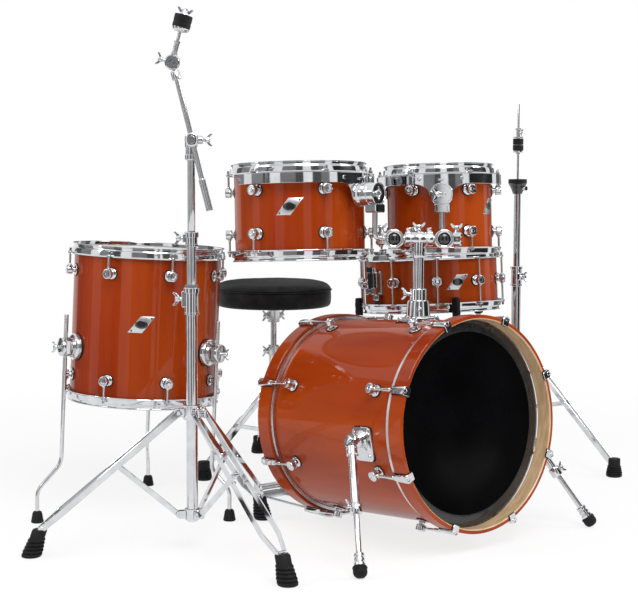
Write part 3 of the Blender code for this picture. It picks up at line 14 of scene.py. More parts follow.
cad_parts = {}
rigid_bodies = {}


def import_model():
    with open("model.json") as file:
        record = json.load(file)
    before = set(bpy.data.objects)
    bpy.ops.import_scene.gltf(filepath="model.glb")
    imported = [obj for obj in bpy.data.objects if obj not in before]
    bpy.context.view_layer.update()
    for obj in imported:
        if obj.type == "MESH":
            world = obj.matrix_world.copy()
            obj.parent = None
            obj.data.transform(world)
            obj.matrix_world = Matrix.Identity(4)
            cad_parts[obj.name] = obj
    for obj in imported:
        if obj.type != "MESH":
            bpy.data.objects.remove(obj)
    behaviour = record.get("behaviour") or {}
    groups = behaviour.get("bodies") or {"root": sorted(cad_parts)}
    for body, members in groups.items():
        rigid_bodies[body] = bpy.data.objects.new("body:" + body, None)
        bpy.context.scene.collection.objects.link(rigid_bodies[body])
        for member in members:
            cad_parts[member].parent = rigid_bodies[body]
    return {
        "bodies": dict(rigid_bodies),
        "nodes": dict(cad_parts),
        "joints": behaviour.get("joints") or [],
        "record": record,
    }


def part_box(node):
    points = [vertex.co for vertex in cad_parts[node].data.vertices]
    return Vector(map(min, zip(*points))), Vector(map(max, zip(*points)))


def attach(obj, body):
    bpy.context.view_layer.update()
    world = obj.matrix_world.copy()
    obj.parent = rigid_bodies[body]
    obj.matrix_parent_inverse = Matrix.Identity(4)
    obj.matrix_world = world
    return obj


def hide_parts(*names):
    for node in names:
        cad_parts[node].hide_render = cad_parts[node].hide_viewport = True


LOG = logging.getLogger("drum_kit")
Profile = Sequence[tuple[float | None, float]]
Inputs = dict[str | int, "float | tuple[float, ...] | bpy.types.NodeSocket"]
Point = Vector | tuple[float, float, float]
UP = Vector((0.0, 0.0, 1.0))
ASKEW = Vector((0.31, 0.95, 0.07))
HERE = Matrix()


class Grain(Enum):
    """The way the wood's figure runs on a lacquered piece."""

    UPRIGHT = (9.0, 9.0, 0.9)
    LENGTHWAYS = (9.0, 0.9, 9.0)


# Finishes

SHADE_PLACES = (0.36, 0.66)
COAT_ROUGHNESS = 0.02
SHEEN_ROUGHNESS = 0.6
BUMP_STRENGTH = 0.6


def fill(tree: bpy.types.NodeTree, node: bpy.types.Node, inputs: Inputs) -> None:
    """Sets a node's inputs.

    Args:
        tree: The node's tree.
        node: The node.
        inputs: A value, or the socket that feeds it, for each input's name or number.
    """
    for key, value in inputs.items():
        if isinstance(value, bpy.types.NodeSocket):
            tree.links.new(value, node.inputs[key])
        else:
            node.inputs[key].default_value = value


def add_node(tree: bpy.types.NodeTree, kind: str, inputs: Inputs, **settings: str) -> bpy.types.Node:
    """Adds a node.

    Args:
        tree: Takes the node.
        kind: Its type.
        inputs: Its inputs, as in fill.
        **settings: Its own settings.

    Returns:
        The node.
    """
    node = tree.nodes.new(kind)
    for name, value in settings.items():
        setattr(node, name, value)
    fill(tree, node, inputs)
    return node


def new_material(name: str) -> tuple[bpy.types.Material, bpy.types.NodeTree, bpy.types.Node]:
    """Makes a material.

    Args:
        name: Its name.

    Returns:
        The material, its node tree and its shader.
    """
    made = bpy.data.materials.new(name)
    made.use_nodes = True
    return made, made.node_tree, made.node_tree.nodes["Principled BSDF"]


@dataclass(frozen=True)
class Finish:
    """A Principled finish, its sizes in metres and its values on the shader's own sockets."""

    name: str
    colour: tuple[float, float, float]
    second: tuple[float, float, float]
    roughness: tuple[float, float]
    metallic: float = 0.0
    coat: float = 0.0
    sheen: float = 0.0
    specular: float = 0.5
    pattern: tuple[float, float, float] = (40.0, 40.0, 40.0)
    bump_scale: float = 600.0
    bump_depth: float = 0.0
    cells: bool = False
    slot: str | None = None

    def build(self) -> bpy.types.Material:
        """Makes the material: two shades in a stretched noise, uneven gloss and a fine relief.

        Returns:
            The finished material.
        """
        made, tree, shader = new_material(self.name)
        coords = tree.nodes.new("ShaderNodeTexCoord").outputs["Object"]
        stretch = add_node(tree, "ShaderNodeMapping", {"Vector": coords, "Scale": self.pattern})
        noise = add_node(tree, "ShaderNodeTexNoise", {"Vector": stretch.outputs["Vector"], "Scale": 1.0,
            "Detail": 6.0})
        ramp = add_node(tree, "ShaderNodeValToRGB", {"Fac": noise.outputs["Fac"]})
        for element, place, colour in zip(ramp.color_ramp.elements, SHADE_PLACES, (self.colour, self.second)):
            element.position, element.color = place, (*colour, 1.0)
        dull, bright = self.roughness
        gloss = add_node(tree, "ShaderNodeMapRange", {"Value": noise.outputs["Fac"], "To Min": dull,
            "To Max": bright})
        fill(tree, shader, {"Base Color": ramp.outputs["Color"], "Roughness": gloss.outputs["Result"],
            "Metallic": self.metallic, "Specular IOR Level": self.specular, "Coat Weight": self.coat,
            "Coat Roughness": COAT_ROUGHNESS, "Sheen Weight": self.sheen, "Sheen Roughness": SHEEN_ROUGHNESS})
        if self.bump_depth:
            kind, height = ("ShaderNodeTexVoronoi", "Distance") if self.cells else ("ShaderNodeTexNoise", "Fac")
            relief = add_node(tree, kind, {"Vector": coords, "Scale": self.bump_scale})
            bump = add_node(tree, "ShaderNodeBump", {"Height": relief.outputs[height], "Distance": self.bump_depth,
                "Strength": BUMP_STRENGTH})
            tree.links.new(bump.outputs["Normal"], shader.inputs["Normal"])
        return made


AMBER = ((0.25, 0.024, 0.002), (0.38, 0.055, 0.004))
LACQUER = Finish("amber_lacquer", *AMBER, (0.3, 0.42), coat=0.5, specular=0.03, pattern=Grain.UPRIGHT.value,
    slot="amber_lacquer")
LACQUER_ROUND = Finish("amber_lacquer_lengthways", *AMBER, (0.3, 0.42), coat=0.5, specular=0.03,
    pattern=Grain.LENGTHWAYS.value, slot="amber_lacquer")
MAPLE = Finish("bare_maple", (0.56, 0.37, 0.2), (0.7, 0.5, 0.3), (0.35, 0.5), coat=0.3,
    pattern=(25.0, 120.0, 25.0), bump_scale=300.0, bump_depth=0.00005)
CHROME = Finish("polished_chrome", (0.62, 0.63, 0.65), (0.72, 0.73, 0.75), (0.03, 0.1), metallic=1.0, slot="chrome")
SATIN = Finish("satin_metal", (0.55, 0.56, 0.58), (0.7, 0.71, 0.73), (0.22, 0.36), metallic=1.0, bump_scale=2200.0,
    bump_depth=0.00004, slot="chrome")
ENAMEL = Finish("black_enamel", (0.006, 0.006, 0.007), (0.012, 0.012, 0.014), (0.1, 0.2), coat=0.8, slot="chrome")
FILM = Finish("black_head_film", (0.0015, 0.0015, 0.0018), (0.003, 0.003, 0.0035), (0.1, 0.18), specular=0.05,
    pattern=(6.0, 6.0, 6.0), slot="black_head")
COATED = Finish("white_coated_head", (0.74, 0.74, 0.72), (0.82, 0.82, 0.8), (0.42, 0.6), bump_scale=1500.0,
    bump_depth=0.0001, slot="coated_head")
COLLAR = Finish("black_head_collar", (0.012, 0.012, 0.013), (0.02, 0.02, 0.021), (0.22, 0.32), coat=0.3)
RUBBER = Finish("black_rubber", (0.006, 0.006, 0.007), (0.012, 0.012, 0.013), (0.5, 0.75), specular=0.2,
    bump_scale=900.0, bump_depth=0.00015)
VINYL = Finish("black_vinyl", (0.01, 0.01, 0.011), (0.02, 0.02, 0.021), (0.36, 0.52), specular=0.08,
    bump_scale=520.0, bump_depth=0.0004, cells=True, slot="black_vinyl")
FELT = Finish("black_felt", (0.006, 0.006, 0.007), (0.014, 0.014, 0.015), (0.85, 1.0), sheen=0.1, specular=0.1,
    bump_scale=1400.0, bump_depth=0.0006)
NYLON = Finish("grey_nylon", (0.11, 0.11, 0.115), (0.15, 0.15, 0.155), (0.45, 0.6), bump_scale=900.0,
    bump_depth=0.00003)
WIRE = Finish("bright_wire", (0.62, 0.63, 0.65), (0.74, 0.75, 0.77), (0.12, 0.25), metallic=1.0, slot="steel_wire")
OWN_SLOT = "own"


# Frames and paths


def moved(point: Point) -> Matrix:
    """Gives the frame that stands at a point, unturned."""
    return Matrix.Translation(point)


def spun(angle: float, axis: str | Vector = "Z") -> Matrix:
    """Gives the frame that is turned about an axis, by an angle in radians."""
    return Matrix.Rotation(angle, 4, axis)


def columns(across: Point, along: Point, origin: Point = (0.0, 0.0, 0.0)) -> Matrix:
    """Makes a frame from two unit vectors at right angles.

    Args:
        across: Its X.
        along: Its Y.
        origin: Its origin.

    Returns:
        The frame as a matrix.
    """
    across, along = Vector(across), Vector(along)
    turn = Matrix((across, along, across.cross(along))).transposed()
    return moved(origin) @ turn.to_4x4()


def aimed(origin: Point, direction: Point, side: Point = ASKEW) -> Matrix:
    """Makes a frame whose Z points along a direction.

    Args:
        origin: Its origin.
        direction: Where Z points.
        side: What X is nearest to.

    Returns:
        The frame as a matrix.
    """
    along = Vector(direction).normalized()
    across = Vector(side) - along * along.dot(Vector(side))
    across.normalize()
    turn = Matrix((across, along.cross(across), along)).transposed()
    return moved(origin) @ turn.to_4x4()


def polar(radius: float, angle: float, height: float = 0.0) -> Vector:
    """Gives the point at a radius, an angle in radians and a height."""
    return Vector((radius * cos(angle), radius * sin(angle), height))


def tangent(angle: float) -> Vector:
    """Gives the unit vector at right angles to the radius, in the way that angles grow."""
    return Vector((-sin(angle), cos(angle), 0.0))


def outwards(radius: float, angle: float, height: float) -> Matrix:
    """Gives the frame at that point of a shell whose Z points outwards and whose Y runs along the axis."""
    out = polar(1, angle)
    turn = Matrix((UP.cross(out), UP, out)).transposed()
    return moved(polar(radius, angle, height)) @ turn.to_4x4()


def rounded(points: Sequence[Vector], radius: float, steps: int = 6) -> list[Vector]:
    """Rounds the inner corners of a path.

    Args:
        points: The path's corners.
        radius: About how far from a corner its curve starts.
        steps: How many pieces a curve has.

    Returns:
        The path's points.
    """
    corners = [Vector(p) for p in points]
    path = [corners[0]]
    for before, corner, after in zip(corners, corners[1:], corners[2:]):
        reach = min(radius, (before - corner).length / 2, (after - corner).length / 2)
        start = corner + (before - corner).normalized() * reach
        end = corner + (after - corner).normalized() * reach
        for step in range(steps + 1):
            share = step / steps
            path.append(start.lerp(corner, share).lerp(corner.lerp(end, share), share))
    path.append(corners[-1])
    return path


def mm(points: Profile, radius: float = 0.0, height: float = 0.0) -> list[tuple[float, float]]:
    """Turns millimetres from a radius and a height into metres; None stands for the axis.

    Args:
        points: The points, in millimetres.
        radius: What their first numbers count from.
        height: What their second numbers count from.

    Returns:
        The points in metres.
    """
    return [(0.0 if a is None else radius + a / 1000, height + b / 1000) for a, b in points]


# Mesh making


class Forge:
    """Gathers the faces of one piece, in metres, in the row frame."""

    def __init__(self) -> None:
        """Starts with no faces."""
        self.mesh = bmesh.new()
        self.shade = 0

    def _face(self, verts: Sequence[bmesh.types.BMVert]) -> None:
        """Adds one face in the shade that is set."""
        face = self.mesh.faces.new(verts)
        face.smooth = True
        face.material_index = self.shade

    def rings(self, rings: Sequence[Sequence[Vector]], caps: bool = True, loop: bool = False) -> "Forge":
        """Joins rings of points into a skin; a ring of one point is a pole.

        Args:
            rings: The rings, all of one length apart from the poles.
            caps: Whether the first and last rings are filled.
            loop: Whether the last ring joins the first.

        Returns:
            This forge.
        """
        made = [[self.mesh.verts.new(point) for point in ring] for ring in rings]
        pairs = list(zip(made, made[1:])) + ([(made[-1], made[0])] if loop else [])
        for low, high in pairs:
            count = max(len(low), len(high))
            if count == 1:
                continue
            for k in range(count):
                nxt = (k + 1) % count
                if len(low) == 1:
                    self._face((low[0], high[nxt], high[k]))
                elif len(high) == 1:
                    self._face((low[k], low[nxt], high[0]))
                else:
                    self._face((low[k], low[nxt], high[nxt], high[k]))
        if caps and not loop:
            for ring in (made[0], made[-1]):
                if len(ring) > 2:
                    self._face(ring)
        return self

    def lathe(self, profile: Profile, frame: Matrix, steps: int = 32, loop: bool = False) -> "Forge":
        """Turns a profile of (radius, height) points about the frame's Z.

        Args:
            profile: The points.
            frame: Where it stands.
            steps: How many sides it has.
            loop: Whether the profile is a closed line.

        Returns:
            This forge.
        """
        rings = []
        for radius, height in profile:
            if radius < 1e-6:
                rings.append([frame @ Vector((0, 0, height))])
            else:
                rings.append([frame @ polar(radius, tau * k / steps, height) for k in range(steps)])
        return self.rings(rings, caps=not loop, loop=loop)

    def rod(self, start: Point, end: Point, radius: float, steps: int = 16, end_radius: float | None = None,
            edge: float = 0.0006) -> "Forge":
        """Makes a round bar with softened ends.

        Args:
            start: The middle of one end.
            end: The middle of the other.
            radius: Its radius at the start.
            steps: How many sides it has.
            end_radius: Its radius at the end, where that differs.
            edge: How far its ends are softened.

        Returns:
            This forge.
        """
        start, end = Vector(start), Vector(end)
        far = radius if end_radius is None else end_radius
        length = (end - start).length
        edge = min(edge, length / 3, radius / 3, far / 3)
        profile = [(0, 0), (radius - edge, 0), (radius, edge), (far, length - edge), (far - edge, length),
            (0, length)]
        return self.lathe(profile, aimed(start, end - start), steps)

    def sweep(self, path: Sequence[Vector], outline: Sequence[tuple[float, float]], side: Vector) -> "Forge":
        """Carries an outline along a path.

        Args:
            path: The path's points.
            outline: The outline's points, across the side and at right angles to it.
            side: The vector that the outline's first number runs along.

        Returns:
            This forge.
        """
        points = [Vector(p) for p in path]
        rings = []
        for k, point in enumerate(points):
            way = (points[min(k + 1, len(points) - 1)] - points[max(k - 1, 0)]).normalized()
            across = Vector(side) - way * way.dot(Vector(side))
            across.normalize()
            other = way.cross(across)
            rings.append([point + across * a + other * b for a, b in outline])
        return self.rings(rings)

    def tube(self, path: Sequence[Vector], radius: float, steps: int = 14, side: Vector = ASKEW) -> "Forge":
        """Makes a round bar along a path.

        Args:
            path: The path's points.
            radius: The bar's radius.
            steps: How many sides it has.
            side: A vector that the path never runs along.

        Returns:
            This forge.
        """
        outline = [(radius * cos(tau * k / steps), radius * sin(tau * k / steps)) for k in range(steps)]
        return self.sweep(path, outline, side)

    def strip(self, path: Sequence[Vector], width: float, thick: float, side: Vector) -> "Forge":
        """Makes a flat bar along a path, with softened edges.

        Args:
            path: The path's points.
            width: Its width, at right angles to side.
            thick: Its thickness, along side.
            side: The vector that the thickness runs along.

        Returns:
            This forge.
        """
        a, b, c = thick / 2, width / 2, min(thick, width) * 0.22
        outline = [(a, b - c), (a - c, b), (c - a, b), (-a, b - c), (-a, c - b), (c - a, -b), (a - c, -b),
            (a, c - b)]
        return self.sweep(path, outline, side)

    def plate(self, outline: Profile, thick: float, frame: Matrix, edge: float = 0.0005) -> "Forge":
        """Makes a flat plate with softened edges.

        Args:
            outline: Its outline in the frame's XY plane, in the way that angles grow.
            thick: Its thickness, half on each side of that plane.
            frame: Where it lies.
            edge: How far its edges are softened.

        Returns:
            This forge.
        """
        points = [Vector((*p, 0.0)) for p in outline]
        if sum(a.x * b.y - a.y * b.x for a, b in zip(points, points[1:] + points[:1])) < 0:
            points.reverse()
        inner = []
        for k, point in enumerate(points):
            before = (point - points[k - 1]).normalized()
            after = (points[(k + 1) % len(points)] - point).normalized()
            inward = Vector((-before.y - after.y, before.x + after.x, 0.0))
            inner.append(point + inward * (edge / max(0.35, 1 + before.dot(after))))
        half = thick / 2
        levels = [(inner, -half), (points, edge - half), (points, half - edge), (inner, half)]
        return self.rings([[frame @ (p + UP * z) for p in ring] for ring, z in levels])

    def box(self, centre: Point, size: tuple[float, float, float], frame: Matrix, edge: float = 0.001) -> "Forge":
        """Makes a box with softened upright edges and rims.

        Args:
            centre: Its middle, in the frame.
            size: Its three sizes.
            frame: Its frame.
            edge: How far its edges are softened.

        Returns:
            This forge.
        """
        x, y = size[0] / 2, size[1] / 2
        e = min(edge, x / 3, y / 3)
        outline = [(x, e - y), (x, y - e), (x - e, y), (e - x, y), (-x, y - e), (-x, e - y), (e - x, -y),
            (x - e, -y)]
        return self.plate(outline, size[2], frame @ moved(centre), min(edge, size[2] / 3))

    def wing_bolt(self, frame: Matrix, size: float = 1.0) -> "Forge":
        """Makes a wing bolt whose stem runs along the frame's Y and whose wings lie along its X.

        Args:
            frame: Where the stem starts.
            size: How large it is against the usual one.

        Returns:
            This forge.
        """
        stem = frame @ spun(-pi / 2, "X")
        s = size
        self.lathe([(0, -0.004 * s), (0.004 * s, -0.004 * s), (0.0044 * s, 0.004 * s), (0.0062 * s, 0.006 * s),
            (0.0062 * s, 0.012 * s), (0.004 * s, 0.015 * s), (0, 0.0158 * s)], stem, 14)
        for hand in (-1, 1):
            wing = mm([(3, 6.5), (8, 8), (12.5, 12.5), (15, 17.5), (14, 20), (11.5, 19.8), (8, 16), (3, 14)])
            outline = [(hand * x * s, y * s) for x, y in wing]
            self.plate(outline if hand > 0 else outline[::-1], 0.0036 * s, frame, 0.001 * s)
        return self

    def drum_key_head(self, frame: Matrix) -> "Forge":
        """Makes a square key head on a washer, upwards along the frame's Z."""
        self.lathe(mm([(0, 0), (5.8, 0), (6.2, 0.5), (5.8, 1.2), (0, 1.2)]), frame, 18)
        self.lathe(mm([(0, 1), (4, 1), (4, 3.4), (0, 3.4)]), frame, 14)
        return self.box((0, 0, 0.0066), (0.0054, 0.0054, 0.0066), frame, 0.0007)

    def tint(self, shade: int, chosen: Callable[[Vector], bool]) -> "Forge":
        """Gives a shade to the faces whose middles are chosen.

        Args:
            shade: The shade's number.
            chosen: Says of a face's middle whether the face takes it.

        Returns:
            This forge.
        """
        for face in self.mesh.faces:
            if chosen(face.calc_center_median()):
                face.material_index = shade
        return self


def add_object(name: str, data: bpy.types.ID) -> bpy.types.Object:
    """Adds an object to the scene.

    Args:
        name: Its name.
        data: Its mesh, light or camera.

    Returns:
        The object.
    """
    made = bpy.data.objects.new(name, data)
    bpy.context.scene.collection.objects.link(made)
    return made


@dataclass
class Workshop:
    """Makes the finishes once, turns forges into pieces and repeats fittings with Geometry Nodes."""

    shift: Matrix
    built: dict[str, bpy.types.Material] = field(default_factory=dict)
    repeater: bpy.types.NodeTree | None = None

    def material(self, finish: Finish) -> bpy.types.Material:
        """Gives a finish's material, made at its first use."""
        if finish.name not in self.built:
            self.built[finish.name] = finish.build()
        return self.built[finish.name]

    def mesh_of(self, forge: Forge, name: str, place: Matrix) -> bpy.types.Mesh:
        """Turns a forge's faces into a mesh that faces outwards.

        Args:
            forge: The faces.
            name: The mesh's name.
            place: Where the forge's own frame goes.

        Returns:
            The mesh.
        """
        bmesh.ops.remove_doubles(forge.mesh, verts=forge.mesh.verts, dist=1e-7)
        loose = [vert for vert in forge.mesh.verts if not vert.link_faces]
        bmesh.ops.delete(forge.mesh, geom=loose, context="VERTS")
        bmesh.ops.recalc_face_normals(forge.mesh, faces=forge.mesh.faces)
        mesh = bpy.data.meshes.new(name)
        forge.mesh.to_mesh(mesh)
        forge.mesh.free()
        mesh.transform(place)
        mesh.set_sharp_from_angle(angle=radians(38))
        return mesh

    def piece(self, name: str, forge: Forge, finishes: Finish | Sequence[Finish], body: str = "kit_base",
            nodes: Iterable[str] = (), slot: str | None = OWN_SLOT) -> bpy.types.Object:
        """Makes a piece that rides on a body.

        Args:
            name: The piece's name.
            forge: Its faces.
            finishes: Its finish, or one for each shade in order.
            body: The body that it rides on.
            nodes: The CAD nodes that it stands for.
            slot: The record's material slot, where it isn't the first finish's own; not used.

        Returns:
            The piece.
        """
        mesh = self.mesh_of(forge, name, self.shift)
        chosen = [finishes] if isinstance(finishes, Finish) else finishes
        for finish in chosen:
            mesh.materials.append(self.material(finish))
        LOG.info("%s: %d faces on %s", name, len(mesh.polygons), body)
        return self._hang(mesh, body, nodes)

    def _hang(self, mesh: bpy.types.Mesh, body: str, nodes: Iterable[str]) -> bpy.types.Object:
        """Puts a finished mesh in the scene, on its body.

        Args:
            mesh: The mesh, in the row frame.
            body: The body that it rides on.
            nodes: The CAD nodes that it stands for.

        Returns:
            The piece.
        """
        made = add_object(mesh.name, mesh)
        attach(made, body)
        for node in nodes:
            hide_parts(node)
        return made

    def _repeater(self) -> bpy.types.NodeTree:
        """Makes the tree that puts a fitting on every point of a guide, turned as the point says.

        Returns:
            The node group.
        """
        tree = bpy.data.node_groups.new("repeat_fitting", "GeometryNodeTree")
        for name, kind in (("Guide", "Geometry"), ("Fitting", "Object"), ("Finish", "Material"), ("Size", "Float")):
            tree.interface.new_socket(name, in_out="INPUT", socket_type=f"NodeSocket{kind}")
        tree.interface.new_socket("Fittings", in_out="OUTPUT", socket_type="NodeSocketGeometry")
        given = tree.nodes.new("NodeGroupInput").outputs
        fitting = add_node(tree, "GeometryNodeObjectInfo", {"Object": given["Fitting"]})
        turn = add_node(tree, "GeometryNodeInputNamedAttribute", {"Name": "turn"}, data_type="FLOAT_VECTOR")
        turned = add_node(tree, "FunctionNodeEulerToRotation", {"Euler": turn.outputs["Attribute"]})
        spread = add_node(tree, "GeometryNodeInstanceOnPoints",
            {"Points": given["Guide"], "Instance": fitting.outputs["Geometry"],
            "Rotation": turned.outputs["Rotation"], "Scale": given["Size"]})
        real = add_node(tree, "GeometryNodeRealizeInstances", {"Geometry": spread.outputs["Instances"]})
        dress = add_node(tree, "GeometryNodeSetMaterial",
            {"Geometry": real.outputs["Geometry"], "Material": given["Finish"]})
        add_node(tree, "NodeGroupOutput", {"Fittings": dress.outputs["Geometry"]})
        return tree

    def repeat(self, name: str, fitting: Forge, frames: Sequence[Matrix], finish: Finish, body: str = "kit_base",
            nodes: Iterable[str] = ()) -> bpy.types.Object:
        """Repeats a fitting at each frame, as one piece.

        Args:
            name: The piece's name.
            fitting: One fitting, made at the origin.
            frames: Where each one goes.
            finish: Its finish.
            body: The body that it rides on.
            nodes: The CAD nodes that it stands for.

        Returns:
            The piece.
        """
        if self.repeater is None:
            self.repeater = self._repeater()
        pattern = add_object(f"{name}_pattern", self.mesh_of(fitting, f"{name}_pattern", HERE))
        guide_mesh = bpy.data.meshes.new(f"{name}_guide")
        guide_mesh.from_pydata([tuple(self.shift @ frame.translation) for frame in frames], [], [])
        turns = guide_mesh.attributes.new("turn", "FLOAT_VECTOR", "POINT")
        for spot, frame in zip(turns.data, frames):
            spot.vector = frame.to_euler()
        guide = add_object(f"{name}_guide", guide_mesh)
        step = guide.modifiers.new("repeat", "NODES")
        step.node_group = self.repeater
        sockets = {item.name: item.identifier for item in self.repeater.interface.items_tree
            if item.in_out == "INPUT"}
        for socket, value in (("Fitting", pattern), ("Finish", self.material(finish)), ("Size", 1.0)):
            step[sockets[socket]] = value
        mesh = bpy.data.meshes.new_from_object(guide.evaluated_get(bpy.context.evaluated_depsgraph_get()))
        mesh.name = name
        bpy.data.objects.remove(guide)
        bpy.data.objects.remove(pattern)
        if not mesh.materials:
            mesh.materials.append(self.material(finish))
        LOG.info("%s: %d times on %s", name, len(frames), body)
        return self._hang(mesh, body, nodes)


# Shared fittings


def lug_fitting() -> Forge:
    """Makes a round tube lug: flange, waist and ringed barrel, outwards along Z."""
    return Forge().lathe(mm([(0, -2), (13, -2), (13.2, 2.2), (12.4, 3.1), (9, 4.2), (6.6, 6.2), (6.2, 8.4),
        (7.2, 10), (10.4, 10.4), (11.4, 11.2), (11.6, 12.4), (11, 12.9), (11, 21.5), (11.6, 22), (11.4, 23.2),
        (10, 24), (8.8, 24), (8.4, 23.3), (7.6, 23.3), (7, 24.1), (4, 24.4), (3.4, 23.6), (0, 23.6)]), HERE, 28)


def gasket_and_painted_shadow_fitting() -> Forge:
    """Makes the black rubber washer between a lug and the shell, outwards along Z; the part of its rim that stands
    out past the lug's flange is painted shadow, a dark ring standing for the shade round the lug's foot.
    """
    return Forge().lathe(mm([(0, -2), (15.2, -2), (15.2, 1.2), (14.7, 1.6), (0, 1.6)]), HERE, 28)


def ear_outline(reach: float, width: float = 0.0078) -> list[tuple[float, float]]:
    """Gives a hoop ear seen from above: wide at the hoop and round about its rod.

    Args:
        reach: How far the rod's line is from the hoop.
        width: Half the width at the hoop.

    Returns:
        The outline, outwards along X.
    """
    nose = [(reach + 0.0056 * cos(a), 0.0056 * sin(a)) for a in (radians(-80 + 20 * k) for k in range(9))]
    return [(-0.001, -width)] + nose + [(-0.001, width)]


@dataclass(frozen=True)
class DrumSizes:
    name: str
    radius: float
    depth: float
    middle: tuple[float, float, float]
    lean: tuple[float, float]
    lugs: int
    first_lug: float
    lug_inset: float
    body: str
    badge: float
    wall: float = 0.0065

    @property
    def frame(self) -> Matrix:
        """Gives the drum's frame, with Z along its axis."""
        up = Vector((*self.lean, 1.0)).normalized()
        across = Vector((1, 0, 0)) - up * up.x
        across.normalize()
        turn = Matrix((across, up.cross(across), up)).transposed()
        return moved(self.middle) @ turn.to_4x4()

    @property
    def lug_angles(self) -> list[float]:
        """Gives the angle of each lug about the axis."""
        return [radians(self.first_lug) + tau * k / self.lugs for k in range(self.lugs)]


@dataclass
class Drum:
    """A lacquered drum: shell, lugs, tension rods, flanged hoops, heads and badge."""

    shop: Workshop
    size: DrumSizes
    rise: float = 0.012
    skirt: float = 0.014
    rod_reach: float = 0.0165
    rod_radius: float = 0.0026

    def build(self) -> None:
        """Makes every piece of the drum."""
        self.shell()
        self.fittings()
        self.hoops()
        self.heads()
        self.badge_plate()

    def shell(self) -> None:
        """Makes the shell, lacquered outside and bare inside, with cut bearing edges."""
        r, half, wall = self.size.radius, self.size.depth / 2, self.size.wall
        inner = r - wall
        profile = [(r, half - 0.0012), (r, 0.3 * half), (r, -0.3 * half), (r, 0.0012 - half), (r - 0.0016, -half),
            (r - 0.0026, -half), (inner, wall - 0.0026 - half), (inner, 0.3 * half), (inner, half - wall + 0.0026),
            (r - 0.0026, half), (r - 0.0016, half)]
        forge = Forge().lathe(profile, self.size.frame, 96, loop=True)
        back = self.size.frame.inverted()
        forge.tint(1, lambda p: (back @ p).xy.length < r - 0.002)
        self.shop.piece(f"{self.size.name}_lacquered_shell", forge, (LACQUER, MAPLE), self.size.body,
            [f"{self.size.name}_shell"])

    def fittings(self) -> None:
        """Makes the lugs, their gaskets (real washers widened into a painted shadow ring round each lug's foot),
        the tension rods and the hoops' ears.
        """
        r, half, name, body = self.size.radius, self.size.depth / 2, self.size.name, self.size.body
        rows = sorted({half - self.size.lug_inset, self.size.lug_inset - half})
        spots = [self.size.frame @ outwards(r, angle, height) for angle in self.size.lug_angles for height in rows]
        self.shop.repeat(f"{name}_lugs", lug_fitting(), spots, CHROME, body)
        # The gaskets are partly real rubber and partly painted shadow: their black rim past the lug stands for the
        # shade round its foot.
        self.shop.repeat(f"{name}_lug_gaskets", gasket_and_painted_shadow_fitting(), spots, RUBBER, body)
        low, ear = half - self.size.lug_inset + 0.0095, half - self.skirt + 0.0046
        rod = Forge().rod((0, 0, low), (0, 0, ear), self.rod_radius, 12)
        rod.lathe(mm([(0, 0), (3.7, 0), (4, 0.6), (4, 4), (3.4, 4.8), (0, 4.8)], 0, low), HERE, 14)
        rod.drum_key_head(moved((0, 0, ear)))
        reach = moved((r + self.rod_reach, 0, 0))
        turns = [spun(angle) for angle in self.size.lug_angles]
        over = spun(pi, "X")
        frames = [self.size.frame @ turn @ reach @ side for turn in turns for side in (HERE, over)]
        self.shop.repeat(f"{name}_tension_rods", rod, frames, CHROME, body)
        plate = Forge().plate(ear_outline(0.0076), 0.0036, moved((0, 0, half - self.skirt + 0.0026)), 0.0007)
        inset = moved((r + self.rod_reach - 0.0076, 0, 0))
        frames = [self.size.frame @ turn @ inset @ side for turn in turns for side in (HERE, over)]
        self.shop.repeat(f"{name}_hoop_ears", plate, frames, CHROME, body)

    def hoops(self) -> None:
        """Makes the two flanged steel hoops with their rolled rims."""
        r, half = self.size.radius, self.size.depth / 2
        top = half + self.rise
        profile = (mm([(1.1, -1.6), (1.6, -0.4), (3, 0), (5.6, 0), (6.8, -0.6), (7, -1.8), (6, -2.6), (3.6, -3.2)],
            r, top) + mm([(3.4, 4), (4.2, 2.4), (8, 1.4), (8.8, -1), (9, -10.8), (11.4, -13.2)], r, half)
            + mm([(11, 0)], r, half - self.skirt) + mm([(9, -13.6), (7, -11.2), (6.6, 1.2), (1.1, 2)], r, half))
        for side, place in (("top", self.size.frame), ("bottom", self.size.frame @ spun(pi, "X"))):
            forge = Forge().lathe(profile, place, 96, loop=True)
            self.shop.piece(f"{self.size.name}_{side}_flanged_hoop", forge, CHROME, self.size.body,
                [f"{self.size.name}_{side}_hoop"])

    def heads(self) -> None:
        """Makes the two coated heads, each with its collar and its metal ring."""
        r, half = self.size.radius, self.size.depth / 2
        face = half + 0.0012
        profile = (mm([(None, 0), (0, 0)], r * 0.5, face) + mm([(-3, 0), (-0.6, -0.3), (1, -2.4)], r, face)
            + mm([(1.6, -4), (4.8, -4.2), (5, -7.8), (1, -7.8), (0.6, -4), (-0.4, 0.4), (-3, 0.6)], r, half)
            + mm([(0, 0.6), (None, 0.6)], r * 0.5, half))
        for side, place in (("top", self.size.frame), ("bottom", self.size.frame @ spun(pi, "X"))):
            forge = Forge().lathe(profile, place, 96)
            back = place.inverted()
            forge.tint(1, lambda p, back=back: (back @ p).xy.length > r + 0.0014)
            nodes = [f"{self.size.name}_top_head"] if side == "top" else []
            self.shop.piece(f"{self.size.name}_{side}_drumhead", forge, (COATED, SATIN), self.size.body, nodes)

    def bent(self, u: float, v: float, lift: float) -> Vector:
        """Gives a point on the shell, u along its curve from the badge's middle, v up it and lifted off it."""
        radius = self.size.radius + lift
        return self.size.frame @ polar(radius, radians(self.size.badge) + u / self.size.radius, v)

